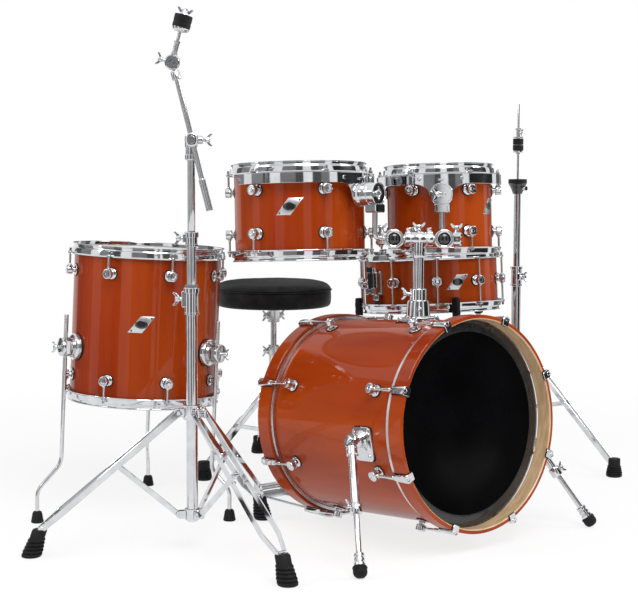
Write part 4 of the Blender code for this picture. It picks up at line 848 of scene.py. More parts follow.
    def badge_plate(self, width: float = 0.034, height: float = 0.039, slant: float = 0.03) -> None:
        """Makes the bare slanted plate with its plain dark oval and two screws.

        Args:
            width: Its width along the shell.
            height: Its height.
            slant: How far its upper edge is set over.
        """
        low = 0.0105 if self.size.depth > 0.2 else -0.003
        rings = []
        for k in range(17):
            s = (k / 16 - 0.5) * width
            thin = 0.0004 if k in (0, 16) else 0.0
            v0, v1 = low - height / 2, low + height / 2
            side = [(v0, -0.0006), (v0, 0.0005 - thin / 2), (v0 + 0.0006, 0.0009 - thin), (low, 0.0009 - thin),
                (v1 - 0.0006, 0.0009 - thin), (v1, 0.0005 - thin / 2), (v1, -0.0006), (low, -0.0006)]
            rings.append([self.bent(s + slant * (v - low) / height, v, lift) for v, lift in side])
        forge = Forge().rings(rings)
        ovals = []
        for scale, lift in ((0.0, 0.0016), (0.5, 0.0016), (0.92, 0.0015), (1.0, 0.001), (1.0, 0.0002)):
            if scale == 0.0:
                ovals.append([self.bent(0, low, lift)])
                continue
            turns = [tau * k / 32 for k in range(32)]
            ovals.append([self.bent(0.015 * scale * cos(a), low + 0.0095 * scale * sin(a), lift) for a in turns])
        forge.shade = 1
        forge.rings(ovals)
        for hand in (-1, 1):
            u, v = hand * (width / 2 - 0.0056 + slant / 2 * 0.8), low + hand * (height / 2 - 0.0044)
            spot = self.bent(u, v, 0.0)
            out = self.bent(u, v, 1.0) - spot
            forge.lathe(mm([(0, 0), (2.1, 0), (2.1, 1.4), (1.6, 2), (0, 2.1)]), aimed(spot, out), 14)
        self.shop.piece(f"{self.size.name}_shell_plate", forge, (SATIN, ENAMEL), self.size.body, slot=None)


TOM12 = DrumSizes("tom12", 0.1524, 0.203, (-0.132, 0.223, 0.739), (0.015, 0.052), 6, -108.0, 0.052, "tom12", -138.0)
TOM10 = DrumSizes("tom10", 0.127, 0.203, (0.223, 0.115, 0.738), (0.015, 0.058), 6, -103.0, 0.052, "tom10", -66.0)
SNARE = DrumSizes("snare", 0.1778, 0.14, (0.461, 0.385, 0.5465), (-0.002, 0.062), 10, -129.5, 0.07, "snare", -111.5)
FLOOR_TOM = DrumSizes("floor_tom", 0.1778, 0.356, (-0.34, 0.563, 0.466), (0.0395, -0.023), 8, -106.8, 0.052,
    "kit_base", -127.0)


@dataclass
class BassDrum:
    """The bass drum with wooden hoops, claws and lugs, lying with its front raised."""

    shop: Workshop
    radius: float = 0.2285
    depth: float = 0.406
    wall: float = 0.007
    height: float = 0.2655
    rise: float = radians(3.86)
    lugs: int = 8
    lug_inset: float = 0.062
    hoop_thick: float = 0.01
    hoop_width: float = 0.039

    @property
    def frame(self) -> Matrix:
        """Gives the drum's frame, with Z out of its front."""
        return moved((0, 0, self.height)) @ spun(pi / 2 - self.rise, "X")

    @property
    def angles(self) -> list[float]:
        """Gives the angle of each lug."""
        return [tau * (k + 0.5) / self.lugs for k in range(self.lugs)]

    @property
    def turned(self) -> Matrix:
        """Gives the frame with Z out of its rear."""
        return self.frame @ spun(pi, "X")

    def build(self) -> None:
        """Makes every piece of the drum."""
        self.shell()
        self.fittings()
        self.hoops()
        self.claws()
        self.heads()

    def shell(self) -> None:
        """Makes the lacquered shell with its bare inside."""
        r, half = self.radius, self.depth / 2
        inner = r - self.wall
        profile = [(r, half - 0.0012), (r, half * 0.4), (r, half * -0.4), (r, 0.0012 - half), (r - 0.0016, -half),
            (r - 0.0028, -half), (inner, 0.0044 - half), (inner, half * -0.4), (inner, half * 0.4),
            (inner, half - 0.0044), (r - 0.0028, half), (r - 0.0016, half)]
        forge = Forge().lathe(profile, self.frame, 128, loop=True)
        back = self.frame.inverted()
        forge.tint(1, lambda p: (back @ p).xy.length < r - 0.002)
        self.shop.piece("bass_lacquered_shell", forge, (LACQUER_ROUND, MAPLE), "kit_base", ["bass_shell"])

    def fittings(self) -> None:
        """Makes the lugs, gaskets (with their painted shadow rings) and tension rods."""
        half = self.depth / 2
        spots = [self.frame @ outwards(self.radius, angle, height) for angle in self.angles
            for height in (half - self.lug_inset, self.lug_inset - half)]
        self.shop.repeat("bass_lugs", lug_fitting(), spots, CHROME)
        # The gaskets are partly real rubber and partly painted shadow: their black rim past the lug stands for the
        # shade round its foot.
        self.shop.repeat("bass_lug_gaskets", gasket_and_painted_shadow_fitting(), spots, RUBBER)
        low, high = half - self.lug_inset + 0.0095, half + 0.033
        rod = Forge().rod((0, 0, low), (0, 0, high), 0.003, 12)
        rod.lathe(mm([(0, 0), (4, 0), (4.3, 0.6), (4.3, 4.6), (3.6, 5.4), (0, 5.4)], 0, low), HERE, 14)
        reach = moved((self.radius + 0.017, 0, 0))
        frames = [place @ spun(angle) @ reach for angle in self.angles for place in (self.frame, self.turned)]
        self.shop.repeat("bass_tension_rods", rod, frames, CHROME)

    def hoops(self) -> None:
        """Makes the wooden hoops, lacquered outside and bare inside."""
        low = self.depth / 2 + 0.0019
        high, inner = low + self.hoop_width, self.radius + 0.0025
        outer = inner + self.hoop_thick
        profile = (mm([(-1.2, 0), (0, -1.2)], outer, high) + mm([(0, 1.2), (-1.2, 0)], outer, low)
            + mm([(1.2, 0), (0, 1.2)], inner, low) + mm([(0, -2.4), (2.4, 0)], inner, high))
        for side, place in (("front", self.frame), ("rear", self.turned)):
            forge = Forge().lathe(profile, place, 128, loop=True)
            back = place.inverted()
            forge.tint(1, lambda p, back=back: (back @ p).xy.length < inner + 0.0016)
            self.shop.piece(f"bass_{side}_wood_hoop", forge, (LACQUER_ROUND, MAPLE), "kit_base",
                [f"bass_{side}_hoop"])

    def claws(self) -> None:
        """Makes the claws that hook over the hoops, with the rubber that lies under each."""
        high = self.depth / 2 + 0.0019 + self.hoop_width
        outer = self.radius + 0.0025 + self.hoop_thick
        claw = Forge()
        stations = [(high - 0.044, 0.0052, 0.004), (high - 0.04, 0.0064, 0.006), (high - 0.03, 0.0072, 0.0076),
            (high - 0.012, 0.0086, 0.0082), (high - 0.003, 0.0096, 0.0082), (high + 0.002, 0.0099, 0.0078)]
        rings = []
        for z, half, top in stations:
            floor = 0.0004
            rings.append([Vector((floor, -half, z)), Vector((floor + top * 0.55, -half, z)),
                Vector((floor + top * 0.92, -half * 0.8, z)), Vector((floor + top, -half * 0.45, z)),
                Vector((floor + top, half * 0.45, z)), Vector((floor + top * 0.92, half * 0.8, z)),
                Vector((floor + top * 0.55, half, z)), Vector((floor, half, z))])
        claw.rings(rings)
        lip = mm([(-11.8, -8.6), (5, -9.8), (7.6, -8), (8.2, -4), (8.2, 4), (7.6, 8), (5, 9.8), (-11.8, 8.6),
            (-12.8, 7), (-12.8, -7)])
        claw.plate(lip, 0.003, moved((0, 0, high + 0.0028)), 0.0008)
        claw.rod((0.004, 0, high - 0.042), (0.004, 0, high - 0.06), 0.0044, 16, 0.004)
        claw.lathe(mm([(0, -0.4), (5.2, -0.4), (5.2, 0.6), (4.6, 1), (3.6, 0.8), (3.2, -0.2), (0, -0.2)]),
            moved((0.0042, 0, high + 0.0044)), 20)
        reach = moved((outer, 0, 0))
        frames = [place @ spun(angle) @ reach for angle in self.angles for place in (self.frame, self.turned)]
        self.shop.repeat("bass_claws", claw, frames, CHROME)
        pad = Forge().plate(mm([(-13.6, -10.2), (0.6, -11.2), (0.6, 11.2), (-13.6, 10.2)]), 0.0012,
            moved((0, 0, high + 0.0006)), 0.0003)
        pad.box((0.0002, 0, high - 0.02), (0.001, 0.02, 0.04), HERE, 0.0003)
        self.shop.repeat("bass_claw_pads", pad, frames, RUBBER)

    def heads(self) -> None:
        """Makes the gloss black front head and the coated rear head, with collars and metal rings."""
        r, half = self.radius, self.depth / 2
        face = half + 0.0012
        profile = (mm([(None, 0), (0, 0)], r * 0.5, face)
            + mm([(-26, 0), (-25, 0.2), (-6, 0.2), (-2, -0.2), (1.2, -2)], r, face)
            + mm([(1.8, -3), (7, -3.2), (7.3, -9.8), (0.8, -9.8), (0.6, -3), (-0.4, 0.4), (-20, 0.6), (None, 0.6)],
            r, half))
        for side, place, finish in (("front", self.frame, FILM), ("rear", self.turned, COATED)):
            forge = Forge().lathe(profile, place, 128)
            back = place.inverted()
            forge.tint(1, lambda p, back=back: (back @ p).xy.length > r + 0.0015)
            if side == "front":
                forge.tint(2, lambda p, back=back: r - 0.0255 < (back @ p).xy.length <= r + 0.0015)
            nodes = ["bass_front_head"] if side == "front" else []
            self.shop.piece(f"bass_{side}_drumhead", forge, (finish, SATIN, COLLAR), "kit_base", nodes)


@dataclass
class Spur:
    """A folding spur of the bass drum: plate, knuckle, tube, sliding rod and foot."""

    shop: Workshop
    bass: BassDrum
    side: int
    axial: float = 0.111
    drop: float = radians(7.0)
    hinge_drop: float = radians(3.7)
    standoff: float = 0.034
    foot: tuple[float, float, float] = (0.364, -0.2566, 0.0153)
    tube_end: float = 0.17

    def build(self) -> None:
        """Makes the plate on the shell, the leg and the rod."""
        name = "left" if self.side < 0 else "right"
        angle = pi + self.drop if self.side < 0 else -self.drop
        hinge = pi + self.hinge_drop if self.side < 0 else -self.hinge_drop
        knuckle = self.bass.frame @ polar(self.bass.radius + self.standoff, hinge, self.axial)
        foot = Vector((self.side * self.foot[0], self.foot[1], self.foot[2]))
        along = (foot - knuckle).normalized()
        axis = along.cross(Vector((0, 1, 0))).normalized()
        axis *= self.side if axis.x > 0 else -self.side
        out = (self.bass.frame.to_3x3() @ polar(1, angle)).normalized()
        self.plate(name, out)
        self.knuckle(name, knuckle, axis, (self.bass.frame.to_3x3() @ polar(1, hinge)).normalized())
        self.leg(name, knuckle, along, axis, foot)

    def bent_plate(self, forge: Forge, angle: float, length: float, width: float, low: float, high: float) -> Forge:
        """Adds a plate with round corners that follows the shell.

        Args:
            forge: Takes the faces.
            angle: The plate's angle about the drum's axis.
            length: Its length along the axis.
            width: Its width round the shell.
            low: How high above the shell its underside is.
            high: How high above the shell its face is.

        Returns:
            The forge.
        """
        corner, rings = 0.012, []
        for share, lift in ((1.0, low), (1.0, high - 0.0016), (0.97, high - 0.0004), (0.92, high),
                (0.5, high + 0.001)):
            ring = []
            for k in range(32):
                turn = tau * (k + 0.5) / 32
                across = copysign(length / 2 - corner, cos(turn)) + corner * cos(turn)
                round_it = copysign(width / 2 - corner, sin(turn)) + corner * sin(turn)
                a = angle + share * round_it / self.bass.radius
                ring.append(self.bass.frame @ polar(self.bass.radius + lift, a, self.axial + share * across))
            rings.append(ring)
        rings.append([self.bass.frame @ polar(self.bass.radius + high + 0.0012, angle, self.axial)])
        return forge.rings(rings)

    def plate(self, name: str, out: Vector) -> None:
        """Makes the chrome plate, its gasket and its bolts.

        Args:
            name: The spur's side.
            out: The way outwards.
        """
        angle = pi + self.drop if self.side < 0 else -self.drop
        rubber = self.bent_plate(Forge(), angle, 0.064, 0.079, -0.002, 0.002)
        self.shop.piece(f"{name}_spur_gasket", rubber, RUBBER)
        forge = self.bent_plate(Forge(), angle, 0.06, 0.075, 0.001, 0.0062)
        for a in (-1, 1):
            for b in (-1, 1):
                turn = angle + b * 0.025 / self.bass.radius
                spot = self.bass.frame @ polar(self.bass.radius + 0.004, turn, self.axial + a * 0.02)
                forge.lathe(mm([(0, 0), (4.2, 0), (4.2, 3.4), (3.4, 4.6), (1.8, 4.8), (1.6, 4), (0, 4)]),
                    aimed(spot, out), 18)
        self.shop.piece(f"{name}_spur_plate", forge, CHROME)

    def knuckle(self, name: str, knuckle: Vector, axis: Vector, out: Vector) -> None:
        """Makes the cast bracket that holds the leg's pin.

        Args:
            name: The spur's side.
            knuckle: Where the leg turns.
            axis: The pin's way, outwards.
            out: The way outwards from the shell.
        """
        forge = Forge()
        base = knuckle - out * (self.standoff - 0.004)
        forge.lathe(mm([(0, 0), (21.5, 0), (21.5, 3), (19, 7.5), (16.8, 12), (16.5, 16), (15.5, 17.6), (0, 17.6)]),
            aimed(base, knuckle - axis * 0.008 - base), 32)
        forge.rod(knuckle - axis * 0.024, knuckle + axis * 0.01, 0.0044, 16)
        forge.lathe(mm([(0, 7.8), (9.5, 7.8), (9.5, 10), (8, 12), (5, 12.8), (0, 12.8)]), aimed(knuckle, axis), 24)
        self.shop.piece(f"{name}_spur_knuckle", forge, CHROME)

    def leg(self, name: str, knuckle: Vector, along: Vector, axis: Vector, foot: Vector) -> None:
        """Makes the tube with its eye and clamp, and the rod with its tip and rubber foot.

        Args:
            name: The spur's side.
            knuckle: Where the leg turns.
            along: The way down the leg.
            axis: The pin's way, outwards.
            foot: The middle of the foot.
        """
        forge = Forge().lathe(mm([(5.4, -6.8), (15, -6.8), (16.8, -5), (16.8, 5), (15, 6.8), (5.4, 6.8)]),
            aimed(knuckle, axis), 32, loop=True)
        end = knuckle + along * self.tube_end
        forge.lathe(mm([(7, 14), (10, 14), (12.6, 17), (12.6, 20), (11.4, 21), (11.4, 25), (12.6, 26), (12.6, 34),
            (9.6, 36), (9.2, 38)]) + mm([(9.2, -23), (12.4, -22), (13.2, -20), (13.2, -2), (12, 0), (7, 0)], 0,
            self.tube_end), aimed(knuckle, along), 28, loop=True)
        bolt_way = (axis - along * axis.dot(along)).normalized()
        forge.wing_bolt(columns(along, bolt_way, end - along * 0.011 + bolt_way * 0.0125), 0.9)
        self.shop.piece(f"{name}_spur_tube", forge, CHROME, f"{name}_spur", [f"{name}_spur_leg"])
        reach = (foot - knuckle).length
        rod = Forge().lathe(mm([(0, 86), (5.8, 86), (6.2, 87)])
            + mm([(6.2, -40), (10, -39.5), (11.2, -38), (11.2, -33), (9.4, -31.5), (9.4, -29.5), (11.6, -28),
            (11.6, -22.5), (9.6, -21), (9.6, -19), (12.4, -17.5), (12.6, -12), (8, -10), (0, -10)], 0, reach),
            aimed(knuckle, along), 28)
        rod.shade = 1
        rod.lathe(mm([(0, -13), (12, -13), (15, -11), (16, -8), (15, -6), (15.2, 2), (13.6, 7), (9.6, 11.2),
            (0, 13.2)]), aimed(foot, along), 32)
        self.shop.piece(f"{name}_spur_slide", rod, (CHROME, RUBBER), f"{name}_spur_rod", [f"{name}_spur_rod"])


@dataclass
class TomMount:
    """The receiver on the bass drum, its post, the double clamp and the two arms."""

    shop: Workshop
    forward: float = 0.044
    base_top: float = 0.4975
    post_radius: float = 0.0127
    clamp_height: float = 0.683
    spacing: float = 0.057
    bar_angle: float = radians(-40.2)
    arm_radius: float = 0.0062
    arm_top: float = 0.793
    standoff: float = 0.066

    @property
    def along(self) -> Vector:
        """Gives the way of the clamp bar, to the right."""
        return polar(1, self.bar_angle)

    def build(self, bass: BassDrum) -> None:
        """Makes the whole mount.

        Args:
            bass: The drum that it stands on.
        """
        self.receiver(bass)
        self.post()
        for name, side, drum, angle in (("left", -1, TOM12, radians(-78.0)), ("right", 1, TOM10, radians(-133.0))):
            centre = Vector((0, -self.forward, self.clamp_height)) + self.along * side * self.spacing
            self.arm(name, centre, self.along * side, drum.frame @ polar(drum.radius + self.standoff, angle))

    def receiver(self, bass: BassDrum) -> None:
        """Makes the flared two-step receiver on its wide plate, with bolts, lip and wing bolt.

        Args:
            bass: The drum that it stands on.
        """
        place = moved((0, -self.forward, 0))
        back = bass.frame.inverted()

        def saddle(x: float, y: float, lift: float) -> Vector:
            """Gives the point over (x, y) that is lift above the shell."""
            spot = Vector((x, y - self.forward, 0))
            low, high = 0.4, 0.6
            for _ in range(24):
                middle = (low + high) / 2
                inside = (back @ Vector((spot.x, spot.y, middle))).xy.length < bass.radius + lift
                low, high = (middle, high) if inside else (low, middle)
            return Vector((spot.x, spot.y, low))

        def skirt(width: float, depth: float, low: float, levels: Profile, corner: float) -> Forge:
            """Makes a plate with round corners whose underside and face follow the shell."""
            rings = []
            for share, lift in levels:
                ring = []
                for k in range(40):
                    turn = tau * (k + 0.5) / 40
                    x = copysign(width / 2 - corner, cos(turn)) + corner * cos(turn)
                    y = copysign(depth / 2 - corner, sin(turn)) + corner * sin(turn)
                    ring.append(saddle(x * share, y * share, lift))
                rings.append(ring)
            rings.insert(0, [saddle(0.0, 0.0, low)])
            rings.append([saddle(0.0, 0.0, levels[-1][1])])
            return Forge().rings(rings)

        rubber = skirt(0.093, 0.069, -0.002, [(1.0, -0.002), (1.0, 0.0018), (0.96, 0.002)], 0.014)
        self.shop.piece("mount_gasket", rubber, RUBBER)
        forge = skirt(0.088, 0.064, 0.001, [(1.0, 0.001), (1.0, 0.006), (0.97, 0.0076), (0.9, 0.0084),
            (0.6, 0.009)], 0.013)
        top = self.base_top
        bore = self.post_radius + 0.0006
        forge.lathe(mm([(0, 4)], bore, top) + mm([(30, 4), (30, 9), (27.6, 10.4), (27, 16), (25.2, 40), (24, 44),
            (20, 45.2), (19, 47), (19, 70), (18, 71.8)], 0, top) + mm([(0.6, 72), (0, 71.2)], bore, top), place,
            56, loop=True)
        for x in (-0.035, 0.035):
            for y in (-0.023, 0.023):
                spot = saddle(x, y, 0.006)
                way = (bass.frame.to_3x3() @ Vector((*(back @ spot).xy, 0))).normalized()
                forge.lathe(mm([(0, 0), (5, 0), (5, 4), (4, 5.4), (2.2, 5.6), (2, 4.6), (0, 4.6)]),
                    aimed(spot, way), 20)
        front = polar(1, self.bar_angle - pi / 2)
        forge.lathe(mm([(0, 0), (6.4, 0), (6.4, 5.2), (5.2, 6.6), (3, 6.8), (2.6, 5), (0, 5)]),
            aimed(Vector((0, -self.forward, top + 0.027)) + front * 0.024, front, UP), 24)
        bolt = Vector((0, -self.forward, top + 0.06)) - self.along * 0.02
        forge.wing_bolt(columns(UP, -self.along, bolt), 0.95)
        self.shop.piece("mount_receiver", forge, CHROME, "kit_base", ["tom_mount_base"])

    def post(self) -> None:
        """Makes the bright post with the bar of ring clamps on its top."""
        centre = Vector((0, -self.forward, self.clamp_height))
        forge = Forge().lathe(mm([(0, 463.5), (11.5, 463.5), (12.6, 464.5), (12.6, 640), (15, 640.6), (15.8, 642),
            (15.8, 649), (14.6, 650), (14.6, 653), (16, 654), (16, 676), (0, 676)]), moved((0, -self.forward, 0)),
            40)
        bar = mm([(0, -32.2), (14, -32.2), (16.4, -31.2), (17, -29), (17, -18), (15.8, -17), (15.8, -12),
            (16.6, -10), (17.2, 0), (16.6, 10), (15.8, 12), (15.8, 17), (17, 18), (17, 29), (16.4, 31.2),
            (14, 32.2), (0, 32.2)])
        forge.lathe(bar, aimed(centre, self.along, UP), 40)
        across = UP.cross(self.along)
        for side in (-1, 1):
            middle = centre + self.along * side * 0.0236
            forge.box((0, 0, 0.017), (0.009, 0.014, 0.008), columns(self.along, across, middle), 0.002)
            forge.lathe(mm([(0, 19), (5.4, 19), (5.6, 23.6), (4.6, 25.2), (2.8, 25.6), (0, 25.6)]), moved(middle),
                6)
            forge.rod(centre + self.along * side * 0.03, centre + self.along * side * 0.0343, 0.011, 24)
        forge.wing_bolt(columns(self.along, UP, centre + UP * 0.0176), 1.0)
        self.shop.piece("tom_post_and_clamp", forge, CHROME, "tom_post", ["tom_post"])

    def arm(self, name: str, ball: Vector, outward: Vector, clamp: Vector) -> None:
        """Makes one arm: the dark ball, the ring that grips it, the bent rod and the bolt.

        Args:
            name: The arm's side.
            ball: The middle of its ball.
            outward: The way along the bar, away from the post.
            clamp: Where the rod passes the drum's clamp.
        """
        corner = Vector((clamp.x, clamp.y, ball.z))
        way = (corner - ball).normalized()
        path = rounded([ball + way * 0.012, corner, Vector((corner.x, corner.y, self.arm_top))], 0.022, 10)
        forge = Forge().tube(path[:-1] + [path[-1] - UP * 0.0008], self.arm_radius, 20)
        thin = self.arm_radius - 0.0002
        forge.lathe(mm([(None, -4), (0, -4), (0, 0)], thin) + mm([(4.8, 1), (0, 1.2)]), moved(path[-1]), 20)
        across = Vector((outward.y, -outward.x, 0))
        ring = aimed(ball, across, UP)
        forge.lathe(mm([(15, -16), (17.2, -17.2), (20.6, -17.2), (22.2, -16), (23, -13), (23, 13), (22.2, 16),
            (20.6, 17.2), (17.2, 17.2), (15, 16)]), ring, 48, loop=True)
        jaws = columns(outward, across, ball)
        for hand in (-1, 1):
            forge.box((0.03, 0, hand * 0.0088), (0.022, 0.024, 0.0124), jaws, 0.0036)
        forge.rod(ball + outward * 0.029 - UP * 0.019, ball + outward * 0.029 + UP * 0.018, 0.005, 20)
        forge.rod(ball + way * 0.011, ball + way * 0.02, 0.0092, 24, 0.0084, 0.0012)
        forge.wing_bolt(columns(outward, UP, ball + outward * 0.029 + UP * 0.0165), 0.95)
        forge.shade = 1
        forge.lathe(mm([(0, -17.8), (6, -17.4), (10.5, -15.8), (13.8, -13), (15.6, -10), (15.6, 10), (13.8, 13),
            (10.5, 15.8), (6, 17.4), (0, 17.8)]), ring, 40)
        self.shop.piece(f"{name}_arm_and_ball", forge, (CHROME, ENAMEL), f"{name}_tom_arm", [f"{name}_tom_arm"])


@dataclass
class TomBracket:
    """The suspension band of a rack tom with its curved apron, boss and arm clamp."""

    shop: Workshop
    drum: DrumSizes
    angle: float
    offset: float = 0.0225
    thick: float = 0.0025
    height: float = 0.024
    drop: float = 0.027
    half_angle: float = radians(104.0)
    standoff: float = 0.066
    rise: float = 0.0355

    def build(self) -> None:
        """Makes the bracket as one chrome piece and its rubber as another."""
        r, half = self.drum.radius, self.drum.depth / 2
        middle = half - self.drop
        frame = self.drum.frame @ spun(self.angle)
        low, high = r + self.offset, r + self.offset + self.thick
        forge, rings = Forge(), []
        edge, top, bottom = 0.0006, middle + self.height / 2, middle - self.height / 2
        for k in range(97):
            turn = self.half_angle * (k / 48 - 1)
            outline = [(low, bottom + edge), (low + edge, bottom), (high - edge, bottom), (high, bottom + edge),
                (high, top - edge), (high - edge, top), (low + edge, top), (low, top - edge)]
            rings.append([frame @ polar(radius, turn, z) for radius, z in outline])
        forge.rings(rings)
        self.apron(forge, frame, middle)
        for side in (-1, 1):
            turn = side * 0.051 / high
            forge.lathe(mm([(0, 0), (4.6, 0), (4.6, 1.4), (3.6, 3), (1.4, 3.4), (0, 3)]),
                frame @ spun(turn) @ aimed((high + 0.0002, 0, middle), (1, 0, 0), UP), 18)
            end = side * (self.half_angle - 0.006 / high)
            forge.lathe(mm([(0, 0), (3, 0), (3, 0.8), (2, 1.8), (0, 2)]),
                frame @ spun(end) @ aimed((high - 0.0004, 0, middle), (1, 0, 0), UP), 14)
        tab_in, tab_out = r + 0.0168, low + 0.0006
        rubber = Forge()
        for lug in self.drum.lug_angles:
            turn = remainder(lug - self.angle, tau)
            if abs(turn) < self.half_angle:
                place = frame @ spun(turn)
                forge.box(((tab_in + tab_out) / 2 + 0.0016, 0, middle), (tab_out - tab_in - 0.0032, 0.012, 0.0028),
                    place, 0.001)
                rubber.lathe(mm([(3, -3.4), (6.2, -3.4), (6.6, -2.8), (6.6, 2.8), (6.2, 3.4), (3, 3.4)]),
                    place @ moved((r + 0.0165, 0, middle)), 20, loop=True)
        self.boss(forge, frame)
        self.shop.piece(f"{self.drum.name}_suspension_bracket", forge, CHROME, self.drum.body,
            [f"{self.drum.name}_bracket"])
        self.shop.piece(f"{self.drum.name}_suspension_grommets", rubber, RUBBER, self.drum.body)

    def apron(self, forge: Forge, frame: Matrix, middle: float) -> None:
        """Adds the plate that runs from the band down to the boss in two hollow curves.

        Args:
            forge: Takes the faces.
            frame: The bracket's frame.
            middle: How high the band's middle is.
        """
        edge = ((0.0, 0.066), (0.007, 0.065), (0.013, 0.0622), (0.019, 0.0572), (0.0232, 0.0505), (0.0258, 0.0435),
            (0.0275, 0.0365), (0.029, 0.0312), (0.031, 0.0268), (0.034, 0.023), (0.038, 0.0196), (0.043, 0.0169),
            (0.049, 0.0147), (0.054, 0.0132), (0.06, 0.012))
        reach = self.drum.radius + self.offset
        inner, outer, top, soft = reach - 0.0003, reach + 0.0032, middle + self.height / 2 - 0.0006, 0.0007
        rings = []
        for across, down in [(-a, d) for a, d in reversed(edge[1:])] + list(edge):
            low, turn = middle - down, across / reach
            outline = ((inner, low), (outer - soft, low), (outer, low + soft), (outer, top - soft),
                (outer - soft, top), (inner, top))
            rings.append([frame @ polar(radius, turn, z) for radius, z in outline])
        forge.rings(rings)
        forge.box((outer + 0.0014, 0, middle - 0.003), (0.004, 0.015, 0.006), frame, 0.0016)

    def boss(self, forge: Forge, frame: Matrix) -> None:
        """Adds the round boss and the block below it, open where the arm passes, and the bolt.

        Args:
            forge: Takes the faces.
            frame: The bracket's frame.
        """
        reach = self.drum.radius + self.standoff
        face = self.drum.radius + self.offset + 0.001
        axis = frame @ aimed((0, 0, self.rise), (1, 0, 0), UP)
        forge.lathe(mm([(0, 0), (26.5, 0), (26.8, 8), (25.8, 9.5)], 0, face)
            + mm([(25.8, -20), (26.8, -19), (26.8, -8.2), (26, -7.4), (0, -7.4)], 0, reach), axis, 56)
        forge.lathe(mm([(0, 10), (25.8, 10), (26.6, 10.6), (26.6, 11.4), (25.4, 12.4), (23.8, 12.4), (23, 11.4),
            (0, 11.4)], 0, reach), axis, 56)
        for hand in (-1, 1):
            span = acos(0.0092 / 0.0262)
            cheek = [(hand * 0.0262 * cos(a), self.rise + 0.0262 * sin(a))
                for a in (span * (k / 8 - 1) for k in range(17))]
            forge.plate(cheek, 0.018, frame @ columns((0, 1, 0), UP, (reach + 0.0014, 0, 0)), 0.0004)
            forge.box((reach, hand * 0.0138, 0.003), (0.03, 0.0104, 0.02), frame, 0.0026)
        for x, thick in ((-0.0115, 0.007), (0.0118, 0.0064)):
            forge.box((reach + x, 0, 0.003), (thick, 0.03, 0.0196), frame, 0.001)
        way = Vector((0.5, -0.87, 0)).normalized()
        forge.rod(frame @ Vector((reach + 0.011, 0, self.rise)), frame @ Vector((reach + 0.0165, 0, self.rise)),
            0.0088, 24)
        forge.wing_bolt(frame @ columns((0, 0, 1), way, (reach + 0.015, -0.003, self.rise)), 1.05)


@dataclass
class Tripod:
    """A fixed tripod of twin strips with braces, hub, collar, tube and rubber feet."""

    shop: Workshop
    name: str
    place: Vector
    feet: tuple[float, float, float]
    reach: float
    hub: float
    collar: float
    spacing: float
    tube: tuple[float, float, float]
    bore: float
    clamp: tuple[float, float]
    clamp_radius: float
    bolt_way: tuple[float, float]
    end_height: float = 0.036
    strip_width: float = 0.014
    strip_thick: float = 0.0028

    def build(self, nodes: Iterable[str]) -> None:
        """Makes the metal, with a wing bolt on its clamp, and the feet.

        Args:
            nodes: The CAD nodes that the metal stands for.
        """
        base = moved(self.place)
        bottom, top, radius = self.tube
        forge = Forge().lathe([(self.bore, bottom + 0.0012), (radius - 0.0024, bottom), (radius, bottom + 0.0012),
            (radius, top - 0.0006), (radius - 0.0006, top), (self.bore, top)], base, 36, loop=True)
        low, high = self.clamp
        c = self.clamp_radius
        forge.lathe(mm([(0, 0)], self.bore, low) + mm([(-2.6, 0), (-0.8, 1.4), (-0.8, 6), (-2.2, 7)], c, low)
            + mm([(-2.2, -9), (0, -8), (0, -1.4), (-1.4, 0)], c, high) + mm([(0, 0)], self.bore, high), base, 40,
            loop=True)
        way = Vector((*self.bolt_way, 0))
        middle = (low + high) / 2
        forge.box((c - 0.001, 0, middle), (0.011, 0.016, min(0.02, high - low - 0.004)),
            base @ columns(way, UP.cross(way)), 0.002)
        forge.wing_bolt(columns((0, 0, 1), way, self.place + way * (c + 0.0035) + UP * middle))
        for z, out in ((self.hub, 0.0216), (self.collar, 0.0196)):
            forge.lathe(mm([(-0.2, -13)], radius, z) + mm([(-3, -13), (0, -10.5), (0, -4), (-1.6, -3), (-1.6, 3),
                (0, 4), (0, 10.5), (-3, 13)], out, z) + mm([(-0.2, 13)], radius, z), base, 40, loop=True)
        feet = Forge()
        for degrees in self.feet:
            self.leg(forge, radians(degrees))
            rubber_foot(feet, self.place + polar(self.reach, radians(degrees)), 0.052)
        self.shop.piece(f"{self.name}_metal", forge, CHROME, "kit_base", nodes)
        self.shop.piece(f"{self.name}_rubber_feet", feet, RUBBER)

    def leg(self, forge: Forge, angle: float) -> None:
        """Adds one leg: twin strips that meet at the foot, its brace and its rivets.

        Args:
            forge: Takes the faces.
            angle: The leg's angle.
        """
        side = tangent(angle)
        start = self.place + polar(0.019, angle, self.hub)
        end = self.place + polar(self.reach - 0.006, angle, self.end_height)
        meet = start.lerp(end, 0.5)
        down = (end - start).normalized()
        for hand in (-1, 1):
            path = [start + side * hand * self.spacing, start.lerp(end, 0.92) + side * hand * 0.0074,
                end + side * hand * 0.0052, end + down * 0.01 + side * hand * 0.0046]
            forge.strip(path, self.strip_width, self.strip_thick, side)
            box = columns(polar(1, angle), side, self.place)
            forge.box((0.0215, hand * (self.spacing - 0.0032), self.hub), (0.013, 0.0034, 0.018), box, 0.001)
        for spot, half in ((start, self.spacing + 0.003), (meet, (self.spacing + 0.006) / 2 + 0.0036),
                (end - down * 0.004, 0.0088)):
            forge.lathe(mm([(0, 0), (3, 0), (4.2, 1.2), (4.2, 1.8), (3, 2)], 0, -half)
                + mm([(3, -2), (4.2, -1.8), (4.2, -1.2), (3, 0), (0, 0)], 0, half), aimed(spot, side), 20)
        forge.strip([self.place + polar(0.017, angle, self.collar), meet], 0.0116, 0.0046, side)
        forge.rod(self.place + polar(0.02, angle, self.collar) - side * 0.006,
            self.place + polar(0.02, angle, self.collar) + side * 0.006, 0.004, 16)


